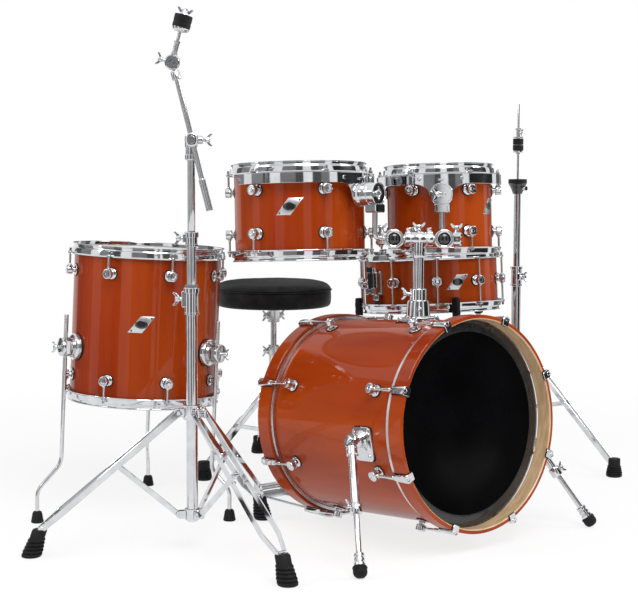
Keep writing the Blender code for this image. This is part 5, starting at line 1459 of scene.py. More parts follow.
def rubber_foot(forge: Forge, spot: Vector, height: float, lean: Vector = Vector((0, 0, 0))) -> None:
    """Adds a stepped black foot: a block whose teeth widen towards a rounded sole.

    Args:
        forge: Takes the faces.
        spot: The middle of its sole.
        height: Its height.
        lean: How far its top is set over from its sole.
    """
    place = moved(spot)
    place[0][2], place[1][2] = lean.x / height, lean.y / height
    profile: list[tuple[float, float]] = mm([(0, 0.6), (18, 0.6), (21.2, 2.4), (22.2, 6), (21.8, 9.2)])
    steps = 4
    rise = (height - 0.03) / steps
    for k in range(steps):
        z, radius = 0.0092 + rise * k, 0.0222 - 0.0011 * k
        profile += [(radius - 0.003, z + rise * 0.1), (radius - 0.003, z + rise * 0.36), (radius, z + rise * 0.46),
            (radius - 0.0004, z + rise * 0.94)]
    profile += mm([(16.6, -20), (16.4, -3), (15, 0), (0, 0)], 0, height)
    forge.lathe(profile, place, 40)


@dataclass
class SnareStand:
    """The snare's basket and stand, its throw-off and its wires."""

    shop: Workshop
    drum: DrumSizes
    pivot_drop: float = 0.155
    arms: tuple[float, float, float] = (129.0, 5.0, -116.0)
    grip_reach: float = 0.1987
    throw_off: float = radians(176.5)

    @property
    def pivot(self) -> Vector:
        """Gives the place where the basket tilts."""
        return self.drum.frame @ Vector((0, 0, -self.pivot_drop))

    def build(self) -> None:
        """Makes the tripod, the tube, the basket, the throw-off and the wires."""
        place = Vector((self.pivot.x, self.pivot.y, 0))
        Tripod(self.shop, "snare_stand", place, (-98.0, 22.0, 142.0), 0.2, 0.235, 0.115, 0.009,
            (0.09, 0.262, 0.0127), 0.0101, (0.252, 0.286), 0.0165, (0.0, -1.0)).build(["snare_stand_tripod"])
        self.tube()
        self.basket()
        self.lever()
        self.wires()

    def tube(self) -> None:
        """Makes the inner tube with the fork that the basket tilts in."""
        base = moved(self.pivot)
        low = 0.1505 - self.pivot.z
        forge = Forge().lathe(mm([(0, 0), (8.6, 0), (9.4, 1)], 0, low)
            + mm([(9.4, -30), (12.5, -29), (14, -27), (14, -21.5), (12.5, -20.5), (0, -20.5)]), base, 32)
        forge.box((-0.006, 0, -0.025), (0.029, 0.023, 0.011), base, 0.003)
        cheek = mm([(-11.5, -29), (11.5, -29), (11.8, -6)])
        cheek += [(0.0118 * cos(a), 0.0118 * sin(a)) for a in (pi * k / 12 for k in range(13))]
        cheek += [(-0.0118, -0.006)]
        forge.plate(cheek, 0.0105, base @ columns((0, 1, 0), UP, (-0.015, 0, 0)), 0.0012)
        forge.rod(self.pivot - Vector((0.016, 0, 0)), self.pivot + Vector((0.0098, 0, 0)), 0.0046, 16)
        forge.wing_bolt(base @ columns((0, 1, 0), (-1, 0, 0), (-0.02, 0, 0)), 0.85)
        self.shop.piece("snare_stand_inner_tube", forge, CHROME, "snare_tube", ["snare_stand_tube"])

    def basket(self) -> None:
        """Makes the hub with its three wire arms and their black rubber grips."""
        frame, d = self.drum.frame, self.pivot_drop
        forge = Forge().lathe(mm([(5.8, -7.8), (11, -7.8), (11.9, -6.6), (11.9, 6.6), (11, 7.8), (5.8, 7.8)]),
            frame @ aimed((0, 0, -d), (1, 0, 0), UP), 32, loop=True)
        forge.lathe(mm([(0, 10), (6.8, 10), (6.8, 14), (18, 15), (19.8, 17), (19.8, 22), (17.5, 23.2), (17, 30),
            (19.5, 31.2), (19.8, 35), (18, 37), (10, 38), (0, 38.4)], 0, -d), frame, 40)
        rubber = Forge()
        for degrees in self.arms:
            angle = radians(degrees)
            low = 0.0295 - d
            points = rounded([polar(0.012, angle, low), polar(self.grip_reach, angle, low),
                polar(self.grip_reach, angle, -0.06)], 0.03, 10)
            for hand in (-1, 1):
                path = [frame @ (p + tangent(angle) * hand * 0.0044) for p in points[:-2]]
                forge.tube(path + [frame @ points[-1]], 0.0034, 14, frame.to_3x3() @ tangent(angle))
            rubber.lathe(mm([(0, -101), (8.6, -101), (10.6, -99), (11, -96), (10.4, -90), (10.4, -84), (11, -82),
                (11, -76), (10.4, -74), (10.4, -66), (10.9, -64), (10.9, -56), (10.2, -54), (10, -46), (8.6, -42),
                (0, -41.2)]), frame @ moved(polar(self.grip_reach, angle)), 32)
            rubber.box((self.grip_reach + 0.002, 0, -0.096), (0.016, 0.022, 0.009), frame @ spun(angle), 0.003)
        self.shop.piece("snare_basket_arms", forge, CHROME, "snare", ["snare_basket"])
        self.shop.piece("snare_basket_grips", rubber, RUBBER, "snare")

    def lever(self) -> None:
        """Makes the throw-off's plate and block, the lever that turns on it and the opposite butt plate."""
        r, turn = self.drum.radius, spun(self.throw_off)
        frame = self.drum.frame @ turn
        forge = Forge().box((r + 0.003, 0, 0), (0.012, 0.033, 0.066), frame, 0.003)
        forge.box((r + 0.014, 0, 0.002), (0.013, 0.025, 0.056), frame, 0.003)
        forge.rod(frame @ Vector((r + 0.015, 0, 0.029)), frame @ Vector((r + 0.015, 0, 0.04)), 0.0058, 24)
        for hand in (-1, 1):
            forge.box((r + 0.027, hand * 0.012, -0.02), (0.021, 0.0044, 0.018), frame, 0.0018)
        forge.rod(frame @ Vector((r + 0.031, -0.0138, -0.02)), frame @ Vector((r + 0.031, 0.0138, -0.02)), 0.0023,
            12)
        forge.box((r + 0.012, 0, -0.038), (0.008, 0.024, 0.014), frame, 0.002)
        for hand in (-1, 1):
            forge.rod(frame @ Vector((r + 0.0155, hand * 0.007, -0.04)),
                frame @ Vector((r + 0.0182, hand * 0.007, -0.04)), 0.0032, 14)
        back = self.drum.frame @ spun(self.throw_off + pi)
        forge.box((r + 0.004, 0, -0.018), (0.01, 0.034, 0.03), back, 0.003)
        for hand in (-1, 1):
            forge.rod(back @ Vector((r + 0.0085, hand * 0.008, -0.018)),
                back @ Vector((r + 0.0115, hand * 0.008, -0.018)), 0.0034, 16)
        self.shop.piece("throw_off_plates", forge, CHROME, "snare")
        strap = Forge()
        for way in (frame, back):
            strap.strip([way @ Vector((r + 0.0118, 0, -0.045)), way @ Vector((r + 0.008, 0, -0.062)),
                way @ Vector((r + 0.004, 0, -0.07))], 0.018, 0.0008, way.to_3x3() @ Vector((1, 0, 0)))
        self.shop.piece("snare_wire_straps", strap, RUBBER, "snare")
        lever = Forge().box((r + 0.0312, 0, 0.014), (0.006, 0.015, 0.06), frame, 0.0022)
        lever.box((r + 0.033, 0, 0.036), (0.007, 0.016, 0.018), frame, 0.0026)
        lever.lathe(mm([(3.2, -8.2), (6.8, -8.2), (6.8, 8.2), (3.2, 8.2)]),
            frame @ aimed((r + 0.031, 0, -0.02), (0, 1, 0), UP), 24, loop=True)
        self.shop.piece("throw_off_black_lever", lever, ENAMEL, "throw_off", ["throw_off_lever"])

    def wires(self) -> None:
        """Makes the coiled strands and their end plates under the lower head."""
        frame = self.drum.frame @ spun(self.throw_off)
        level = -(self.drum.depth / 2 + 0.0016 + 0.0012)
        coil, turns, points = Forge(), 60, []
        for k in range(turns * 8 + 1):
            a = tau * k / 8
            points.append(Vector((-0.145 + 0.29 * k / (turns * 8), 0.0007 * cos(a), 0.0007 * sin(a))))
        coil.tube(points, 0.00035, 6, Vector((0, 0.7, 0.7)))
        frames = [frame @ moved((0, (k - 9.5) * 0.0021, level)) for k in range(20)]
        self.shop.repeat("snare_wire_strands", coil, frames, WIRE, "snare", ["snare_wires"])
        ends = Forge()
        for hand in (-1, 1):
            ends.box((hand * 0.153, 0, level), (0.018, 0.044, 0.0016), frame, 0.0006)
        self.shop.piece("snare_wire_end_plates", ends, SATIN, "snare", slot="steel_wire")


@dataclass
class FloorTomLegs:
    """The floor tom's three leg brackets and its three sliding legs."""

    shop: Workshop
    drum: DrumSizes
    angles: tuple[float, float, float] = (51.7, 171.7, -68.3)
    offset: float = 0.03
    drop: float = 0.057
    top: float = 0.02
    feet: tuple[tuple[float, float], ...] = ((0.1678, 0.2451), (-0.2784, 0.0491), (0.0872, -0.2246))
    rod_radius: float = 0.005

    def build(self) -> None:
        """Makes the brackets and the legs."""
        r, frame = self.drum.radius, self.drum.frame
        line = r + self.offset
        forge, rubber = Forge(), Forge()
        for number, degrees in enumerate(self.angles, 1):
            place = frame @ spun(radians(degrees)) @ moved((0, 0, -self.drop))
            axis = place @ aimed((0, 0, 0), (1, 0, 0), UP)
            rubber.lathe(mm([(0, -6), (33, -6), (33, 1.6), (32.4, 2.4), (0, 2.4)], 0, r), axis, 48)
            forge.lathe(mm([(0, -3), (31.8, -3), (32, 8), (31, 11.8), (28.5, 14.2), (25, 15), (0, 15)], 0, r),
                axis, 56)
            forge.lathe(mm([(0, 14), (21.5, 14), (22.2, 15.5)], 0, r) + mm([(22.2, -6.2), (0, -6.2)], 0, line),
                axis, 48)
            forge.lathe(mm([(0, 6.2), (22.2, 6.2), (22.2, 11), (21.2, 13.5), (15, 15), (11, 15.5), (0, 15.5)], 0,
                line), axis, 48)
            for hand in (-1, 1):
                forge.box((line, hand * 0.0125, 0), (0.0126, 0.013, 0.034), place, 0.0016)
            forge.wing_bolt(place @ columns((0, 0, 1), (1, 0, 0), (line + 0.0165, 0, 0)), 0.9)
            self.leg(number, radians(degrees), line)
        self.shop.piece("floor_tom_leg_brackets", forge, CHROME)
        self.shop.piece("floor_tom_bracket_gaskets", rubber, RUBBER)

    def leg(self, number: int, angle: float, line: float) -> None:
        """Makes one bent leg with its knurled upper end and its rubber foot.

        Args:
            number: The leg's number.
            angle: Its angle.
            line: How far from the axis its upper part runs.
        """
        frame = self.drum.frame
        across, deep = self.feet[number - 1]
        foot = Vector((self.drum.middle[0] + across, self.drum.middle[1] + deep, 0))
        high = frame @ polar(line, angle, self.top - 0.0005)
        bend = frame @ polar(line, angle, 0.128 - self.drum.middle[2])
        path = rounded([high, bend, foot + UP * 0.076, foot + UP * 0.01], 0.018, 10)
        forge = Forge().tube(path, self.rod_radius, 20)
        down = (bend - high).normalized()
        rings: list[tuple[float, float]] = [(0, -0.0006), (0.0044, -0.0006)]
        for k in range(28):
            rings += mm([(5.2, 0.8), (5.2, 2.6), (4.9, 3), (4.9, 3.6)], 0, k * 0.0036)
        rings += [(0.0044, 0.103), (0, 0.103)]
        forge.shade = 1
        forge.lathe(rings, aimed(high, down), 24)
        forge.shade = 2
        forge.lathe(mm([(0, 0), (13.2, 0), (14.8, 1.4), (15, 5), (13.8, 6.4), (14, 10), (13, 11.2), (13.2, 15),
            (12.2, 16.4), (12, 21), (9.8, 26.2), (7, 28), (0, 28)]), moved(foot + UP * 0.0003), 36)
        self.shop.piece(f"floor_tom_bent_leg_{number}", forge, (CHROME, SATIN, RUBBER), f"floor_leg_{number}",
            [f"floor_tom_leg_{number}"])


@dataclass
class Throne:
    """The round stool: tripod, post, seat bracket and vinyl cushion."""

    shop: Workshop
    place: Vector = field(default_factory=lambda: Vector((0.234, 0.781, 0)))
    radius: float = 0.1625
    low: float = 0.462
    high: float = 0.5375

    def build(self) -> None:
        """Makes the whole stool."""
        Tripod(self.shop, "throne", self.place, (181.9, 61.8, -58.2), 0.248, 0.235, 0.11, 0.01,
            (0.085, 0.346, 0.0127), 0.0091, (0.322, 0.352), 0.016, (-1.0, 0.0)).build(["throne_tripod"])
        base = moved(self.place)
        post = Forge().lathe(mm([(0, 160), (7.6, 160), (8.4, 161), (8.4, 448), (7.6, 450), (0, 450)]), base, 32)
        self.shop.piece("throne_round_post", post, CHROME, "throne_post", ["throne_post"])
        self.bracket(base)
        self.cushion(base)

    def bracket(self, base: Matrix) -> None:
        """Makes the plate and socket under the cushion, with its wing bolts.

        Args:
            base: The stool's frame.
        """
        low = self.low
        forge = Forge().lathe(mm([(9.1, -45), (15, -45), (16.8, -43.6), (16.8, -12), (18.5, -8.5), (56, -7),
            (60, -5.6), (60, -2), (58, 2), (0, 2), (0, -11.6), (9.1, -11.6)], 0, low), base, 48)
        for k in range(4):
            spot = self.place + polar(0.044, radians(45 + 90 * k), low - 0.0064)
            forge.lathe(mm([(0, -1), (5.2, -1), (5.2, 2.6), (4, 3.4), (0, 3.4)]), aimed(spot, -UP), 6)
        for hand in (-1, 1):
            spot = self.place + Vector((hand * 0.02, 0, low - 0.026))
            forge.box((hand * 0.017, 0, low - 0.026), (0.008, 0.016, 0.02), base, 0.002)
            forge.wing_bolt(columns((0, 0, 1), (hand, 0, 0), spot))
        self.shop.piece("throne_seat_bracket", forge, SATIN, "throne_seat")

    def cushion(self, base: Matrix) -> None:
        """Makes the padded cushion: crowned top, piped seam, side band and slightly gathered vinyl.

        Args:
            base: The stool's frame.
        """
        r, low, high = self.radius, self.low, self.high
        steps, rows = 160, []
        top = [(0.0, high), (0.15, high - 0.0001), (0.3, high - 0.0004), (0.45, high - 0.001), (0.6, high - 0.002),
            (0.72, high - 0.0034), (0.81, high - 0.0052), (0.88, high - 0.0078), (0.935, high - 0.012),
            (0.968, high - 0.0168), (0.986, high - 0.0212), (0.993, high - 0.0246)]
        rows += [(share * r, z, 1.0) for share, z in top]
        seam = high - 0.0275
        rows += [(r - 0.0026, seam + 0.0014, 0.6), (r - 0.0034, seam + 0.0006, 0.2),
            (r + 0.0004, seam + 0.001, 0.0), (r + 0.0014, seam - 0.0004, 0.0), (r + 0.0008, seam - 0.002, 0.0),
            (r - 0.003, seam - 0.0026, 0.2)]
        rows += [(r - 0.0014, seam - 0.006, 0.6), (r - 0.0008, seam - 0.014, 0.8), (r - 0.0008, seam - 0.022, 0.8),
            (r - 0.0014, low + 0.014, 0.6), (r - 0.003, low + 0.0072, 0.4), (r - 0.0072, low + 0.0024, 0.2),
            (r - 0.014, low + 0.0004, 0.0), (r * 0.5, low, 0.0), (0.0, low, 0.0)]
        rings = []
        for k, (radius, z, soft) in enumerate(rows):
            if radius < 1e-6:
                rings.append([base @ Vector((0, 0, z))])
                continue
            ring = []
            for step in range(steps):
                a = tau * step / steps
                wave = 0.6 * sin(3 * a + 0.7) + 0.4 * sin(7 * a + 1.9 + 0.05 * k) + 0.25 * sin(17 * a + 0.4 * k)
                gather = 0.00045 * sin(46 * a) * max(0.0, 1 - abs(z - seam) / 0.01) * (soft > 0)
                dip = 0.0009 * soft * wave * (radius / r)
                ring.append(base @ polar(radius + dip * 0.5 + gather, a, z + dip * (0.8 if z > seam else 0.0)))
            rings.append(ring)
        cushion = Forge().rings(rings)
        made = self.shop.piece("throne_vinyl_cushion", cushion, VINYL, "throne_seat", ["throne_seat"])


@dataclass
class BoomStand:
    """The boom stand: folding tripod, three tubes, boom and tilter."""

    shop: Workshop
    place: Vector = field(default_factory=lambda: Vector((-0.4976, 0.147, 0)))
    feet: tuple[float, float, float] = (25.5, 148.0, -92.0)
    pivot_reach: float = 0.03
    leg_pivot: float = 0.31
    brace_pivot: float = 0.085
    leg_angle: float = radians(50.0)
    leg_end: float = 0.059
    bar_angle: float = radians(-40.2)
    collar_top: float = 0.583
    middle_top: float = 0.703
    boom_pivot: float = 0.901
    boom_lean: float = radians(-13.9)
    boom_low: float = 0.156
    boom_high: float = 0.133
    tilter_rise: float = 0.1634
    tilter_lean: float = radians(14.5)

    @property
    def left(self) -> Vector:
        """Gives the way that the wing bolts point."""
        return polar(-1, self.bar_angle)

    @property
    def near(self) -> Vector:
        """Gives the way that the boom is set off."""
        return Vector((-self.left.y, self.left.x, 0))

    def build(self) -> None:
        """Makes the whole stand."""
        self.base()
        self.hub()
        for number, degrees in enumerate(self.feet, 1):
            self.leg(number, radians(degrees))
            self.brace(number, radians(degrees))
        self.tubes()
        self.boom()
        self.tilter()

    def clamp(self, forge: Forge, base: Matrix, top: float, length: float, radius: float, bore: float) -> None:
        """Adds a stepped clamp collar with its block and wing bolt.

        Args:
            forge: Takes the faces.
            base: The stand's frame.
            top: How high it ends.
            length: Its length.
            radius: Its radius.
            bore: The radius of its hole.
        """
        low = top - length
        forge.lathe(mm([(0, 0)], bore, low) + mm([(-3, 0), (-1.4, 1.2), (-1.4, 5), (-2.6, 6)], radius, low)
            + mm([(-2.6, -12), (0, -11), (0, -1.6), (-1.6, 0)], radius, top) + mm([(0, 0)], bore, top), base, 40,
            loop=True)
        middle = top - length * 0.42
        forge.box((radius - 0.002, 0, middle), (0.011, 0.015, length * 0.6),
            base @ columns(self.left, UP.cross(self.left)), 0.0022)
        forge.wing_bolt(columns((0, 0, 1), self.left, self.place + self.left * (radius + 0.0028) + UP * middle))

    def base(self) -> None:
        """Makes the lowest tube with its clamp and the ears that carry the braces."""
        base = moved(self.place)
        forge = Forge().lathe(mm([(0, 69), (11.2, 69), (12.6, 70.4), (12.6, 535), (11.4, 535), (11.4, 300),
            (0, 300)]), base, 40)
        self.clamp(forge, base, self.collar_top, 0.06, 0.018, 0.01115)
        z = self.brace_pivot
        forge.lathe(mm([(12.4, -12), (16, -12), (17.8, -10.4), (17.8, 10.4), (16, 12), (12.4, 12)], 0, z), base,
            36, loop=True)
        for degrees in self.feet:
            angle = radians(degrees)
            side = tangent(angle)
            for hand in (-1, 1):
                ear = [(0.013, -0.009), (0.03, -0.008)]
                ear += [(0.03 + 0.0066 * sin(a), -0.0066 * cos(a)) for a in (pi * k / 8 for k in range(9))]
                ear += [(0.03, 0.008), (0.013, 0.009)]
                forge.plate(ear, 0.0034, columns(polar(1, angle), UP, self.place + UP * z + side * hand * 0.007),
                    0.0008)
            end = self.place + polar(self.pivot_reach, angle, z)
            forge.rod(end - side * 0.01, end + side * 0.01, 0.0024, 14)
        self.shop.piece("boom_stand_base_tube", forge, CHROME, "kit_base", ["cymbal_base_tube"])
        low = self.collar_top
        sleeve = Forge().lathe(mm([(11, 0.2), (14, 0.2), (14.6, 1), (14.6, 4.5), (13.2, 6), (11, 6)], 0, low),
            base, 36, loop=True)
        self.shop.piece("boom_stand_grey_sleeve", sleeve, NYLON)

    def hub(self) -> None:
        """Makes the sliding hub that carries the legs."""
        base, z = moved(self.place), self.leg_pivot
        bore = 0.0133
        forge = Forge().lathe(mm([(0, -16)], bore, z)
            + mm([(18, -16), (19.4, -14.6), (19.4, -9), (18.4, -8), (18.4, 8), (19.4, 9), (19.4, 14.6), (18, 16)],
            0, z) + mm([(0, 16)], bore, z), base, 40, loop=True)
        for degrees in self.feet:
            angle = radians(degrees)
            for hand in (-1, 1):
                forge.box((0.0275, hand * 0.0088, z), (0.022, 0.0042, 0.019), base @ spun(angle), 0.0016)
            forge.box((0.0215, 0, z), (0.008, 0.019, 0.018), base @ spun(angle), 0.001)
        self.shop.piece("boom_stand_hub", forge, CHROME, "leg_hub", ["cymbal_leg_hub"])

    def leg(self, number: int, angle: float) -> None:
        """Makes one folding leg: two strips that join in a loop at a ribbed foot.

        Args:
            number: The leg's number.
            angle: Its angle.
        """
        out, side = polar(1, angle), tangent(angle)
        down = out * sin(self.leg_angle) - UP * cos(self.leg_angle)
        top = self.place + polar(self.pivot_reach, angle, self.leg_pivot)
        length = (self.leg_pivot - self.leg_end) / cos(self.leg_angle)
        end = top + down * length
        forge = Forge()
        for hand in (-1, 1):
            knee = top + down * length * 0.86 + side * hand * 0.0215
            path = [top - down * 0.006 + side * hand * 0.015, knee, end + side * hand * 0.0085]
            forge.strip(rounded(path, 0.008, 5), 0.014, 0.003, side)
            middle = top + down * length / 2
            forge.rod(middle + side * hand * 0.0108, middle + side * hand * 0.0216, 0.004, 16)
        for spot, half, radius in ((top, 0.018, 0.0034), (end - down * 0.004, 0.013, 0.0058)):
            forge.lathe(mm([(None, 0), (0.4, 0), (1.2, 1.2), (0, 2)], radius, -half)
                + mm([(0, -2), (1.2, -1.2), (0.4, 0), (None, 0)], radius, half), aimed(spot, side), 20)
        forge.shade = 1
        rubber_foot(forge, Vector((end.x, end.y, 0)) + out * 0.02, 0.061, out * -0.02)
        self.shop.piece(f"boom_stand_leg_{number}", forge, (CHROME, RUBBER), f"leg_{number}",
            [f"cymbal_leg_{number}"])

    def brace(self, number: int, angle: float) -> None:
        """Makes one brace.

        Args:
            number: Its number.
            angle: Its angle.
        """
        out, side = polar(1, angle), tangent(angle)
        rise = out * sin(self.leg_angle) + UP * cos(self.leg_angle)
        base = self.place + polar(self.pivot_reach, angle, self.brace_pivot)
        length = (self.leg_pivot - self.brace_pivot) / 2 / cos(self.leg_angle)
        outline = [(cos(a) * 0.0058, sin(a) * 0.0058) for a in (pi / 2 + pi * k / 8 for k in range(9))]
        outline += [(length + cos(a) * 0.0058, sin(a) * 0.0058) for a in (pi * k / 8 - pi / 2 for k in range(9))]
        forge = Forge().plate(outline, 0.0072, columns(rise, side.cross(rise), base), 0.001)
        forge.rod(base + rise * length - side * 0.0104, base + rise * length + side * 0.0104, 0.0028, 14)
        self.shop.piece(f"boom_stand_brace_{number}", forge, CHROME, f"brace_{number}", [f"cymbal_brace_{number}"])

    def tubes(self) -> None:
        """Makes the middle and upper tubes with their clamps."""
        base = moved(self.place)
        middle = Forge().lathe(mm([(8.65, 420.6), (10, 420), (10.7, 421)])
            + mm([(10.7, -30), (8.65, -30)], 0, self.middle_top), base, 36, loop=True)
        self.clamp(middle, base, self.middle_top, 0.032, 0.0155, 0.00865)
        self.shop.piece("boom_stand_middle_tube", middle, CHROME, "cymbal_middle", ["cymbal_middle_tube"])
        z, right = self.boom_pivot, -self.left
        upper = Forge().lathe(mm([(0, 640.5), (7.6, 640.5), (8.3, 641.5)])
            + mm([(8.3, -44), (12.6, -43), (13.8, -41.5), (13.8, -33), (12.4, -31.5), (12.4, -16), (13.8, -15),
            (13.8, 7), (12.4, 10), (8, 11), (0, 11.2)], 0, z), base, 36)
        pivot = self.place + UP * z
        swing = self.swing
        upper.rod(swing - self.near * 0.014, swing - self.near * 0.007, 0.011, 28)
        upper.rod(swing - self.near * 0.012, swing + self.near * 0.011, 0.0058, 20)
        upper.lathe(mm([(0, 10.6), (8.6, 10.6), (9.2, 11.4), (8.8, 13.4), (0, 13.8)]), aimed(swing, self.near, UP),
            6)
        upper.rod(pivot, pivot + right * 0.025, 0.0095, 28, 0.0088, 0.0014)
        upper.wing_bolt(columns((0, 0, 1), right, pivot + right * 0.0265), 0.95)
        self.shop.piece("boom_stand_upper_tube", upper, CHROME, "cymbal_upper", ["cymbal_upper_tube"])

    @property
    def swing(self) -> Vector:
        """Gives the place that the boom turns about."""
        return self.place + UP * self.boom_pivot - self.left * 0.0035 + self.near * 0.02

    @property
    def boom_way(self) -> Vector:
        """Gives the way up the boom."""
        return polar(1, self.bar_angle) * sin(self.boom_lean) + UP * cos(self.boom_lean)

    def boom(self) -> None:
        """Makes the boom with its ring, its knurled lower end and its tapered top."""
        centre, along = self.swing, self.boom_way
        forge = Forge().lathe(mm([(6.8, -4.8), (13, -4.8), (14.9, -3.6), (14.9, 7.6), (13, 8.8), (6.8, 8.8)]),
            aimed(centre, self.near, UP), 40, loop=True)
        for way, far in ((1, self.boom_high), (-1, self.boom_low - 0.068)):
            forge.rod(centre + along * way * 0.01, centre + along * way * far, 0.0055, 24)
        low = -self.boom_low
        rings: list[tuple[float, float]] = [(0, low), (0.0066, low)]
        for k in range(17):
            z = low + 0.001 + k * 0.004
            rings += mm([(7.5, 0), (7.5, 2.4), (7.1, 2.8), (7.1, 3.6)], 0, z)
        rings += [(0.0066, low + 0.0696), (0, low + 0.07)]
        forge.lathe(rings, aimed(centre, along, UP + self.near), 28)
        top, swivel = self.boom_high, along * (self.tilter_rise / along.z)
        forge.lathe(mm([(0, -2), (9, -2), (10, -1), (10, 15), (8.8, 16.8), (5, 17.6)], 0, top)
            + mm([(4.6, 0), (0, 0)], 0, swivel.length), aimed(centre, along, UP + self.near), 28)
        tip = centre + swivel
        forge.lathe(mm([(0, -11), (13, -11), (15, -9.4), (15.2, -4), (14.8, 3), (4.3, 3.2), (4.3, 15), (0, 15.2)]),
            aimed(tip, self.near, UP), 40)
        self.shop.piece("boom_arm", forge, CHROME, "boom", ["cymbal_boom"])

    def tilter(self) -> None:
        """Makes the leaning tilter: ratchet body, bolt, riser, cup, felt and wing nut."""
        tip = self.swing + self.boom_way * (self.tilter_rise / self.boom_way.z)
        turned = moved(tip) @ spun(-self.tilter_lean, self.near)
        forge = Forge().lathe(mm([(5.1, 5), (14, 5), (16, 6.4), (16.8, 9.2), (16.2, 12.6), (14, 15.2),
            (5.1, 15.6)]), turned @ aimed((0, 0, 0), self.near, UP), 44, loop=True)
        base = turned @ moved(self.near * 0.01)
        forge.lathe(mm([(0, 12.5), (6, 12.5), (6.8, 14), (6.8, 20), (5.6, 21), (5.6, 40), (6.6, 41), (6.6, 45),
            (3.6, 47), (3.6, 65.5), (11, 66), (16.8, 68.5), (18.8, 72), (19, 74.4), (0, 74.4)]), base, 40)
        forge.lathe(mm([(0, 102), (8.5, 102), (9, 103), (7.8, 107.4), (6.4, 109.2), (6, 114.6), (4, 116),
            (0, 116.2)]), base, 28)
        nut = mm([(4, 6), (10, 7.8), (15, 12), (17.6, 16.5), (16, 18.8), (12, 18), (8, 14), (4, 12)])
        for hand in (-1, 1):
            forge.plate([(hand * x, z) for x, z in nut], 0.0044,
                base @ moved((0, 0, 0.0984)) @ columns(self.left, UP, (0, 0, 0)), 0.0012)
        forge.wing_bolt(base @ columns((0, 0, 1), self.left, self.left * 0.017), 0.9)
        forge.shade = 1
        forge.lathe(mm([(0, 74.4), (18, 74.4), (19.4, 75.6), (19.6, 79), (19.3, 85), (18.6, 86.2), (19.4, 87.4),
            (19.5, 96), (19.3, 100.6), (18, 101.8), (0, 102)]), base, 48)
        self.shop.piece("tilter_felt_and_nut", forge, (CHROME, FELT), "tilter", ["cymbal_tilter"])


@dataclass
class Footboard:
    """A cast footboard with raised ribs, on its heel hinge."""

    shop: Workshop
    name: str
    node: str
    body: str
    world: Matrix
    length: float
    rise: float
    width: float = 0.075
    bore: float = 0.0037

    def build(self) -> None:
        """Makes the board with its rim, ribs and heel barrel."""
        along = Vector((-self.length, 0, self.rise)).normalized()
        reach = hypot(self.length, self.rise)
        frame = self.world @ columns(along, (0, 1, 0))
        half = self.width / 2
        outline = [(0.011, 0.03 - half), (0.03, -half + 0.002), (reach * 0.55, -half),
            (reach - 0.03, -half + 0.003)]
        outline += [(reach - 0.03 + 0.0295 * sin(a), -(half - 0.003) * cos(a))
            for a in (pi * k / 12 for k in range(1, 12))]
        outline += [(reach - 0.03, half - 0.003), (reach * 0.55, half), (0.03, half - 0.002), (0.011, half - 0.03)]
        forge = Forge().plate(outline, 0.0042, frame, 0.0012)
        for k in range(9):
            x = 0.045 + k * (reach - 0.085) / 8
            forge.box((x, 0, -0.0024), (0.0044, self.width - 0.02, 0.0016), frame, 0.0006)
        for hand in (-1, 1):
            forge.box((reach * 0.5, hand * (half - 0.0042), -0.0024), (reach - 0.075, 0.0026, 0.0018), frame,
                0.0006)
        forge.strip([frame @ Vector((0.004, 0, 0)), frame @ Vector((0.034, 0, 0))], self.width - 0.012, 0.0046,
            frame.to_3x3() @ UP)
        forge.lathe([(self.bore, -half), (0.007, -half), (0.0078, 0.001 - half), (0.0078, half - 0.001),
            (0.007, half), (self.bore, half)], self.world @ aimed((0, 0, 0), (0, 1, 0), UP), 28, loop=True)
        self.shop.piece(self.name, forge, SATIN, self.body, [self.node])


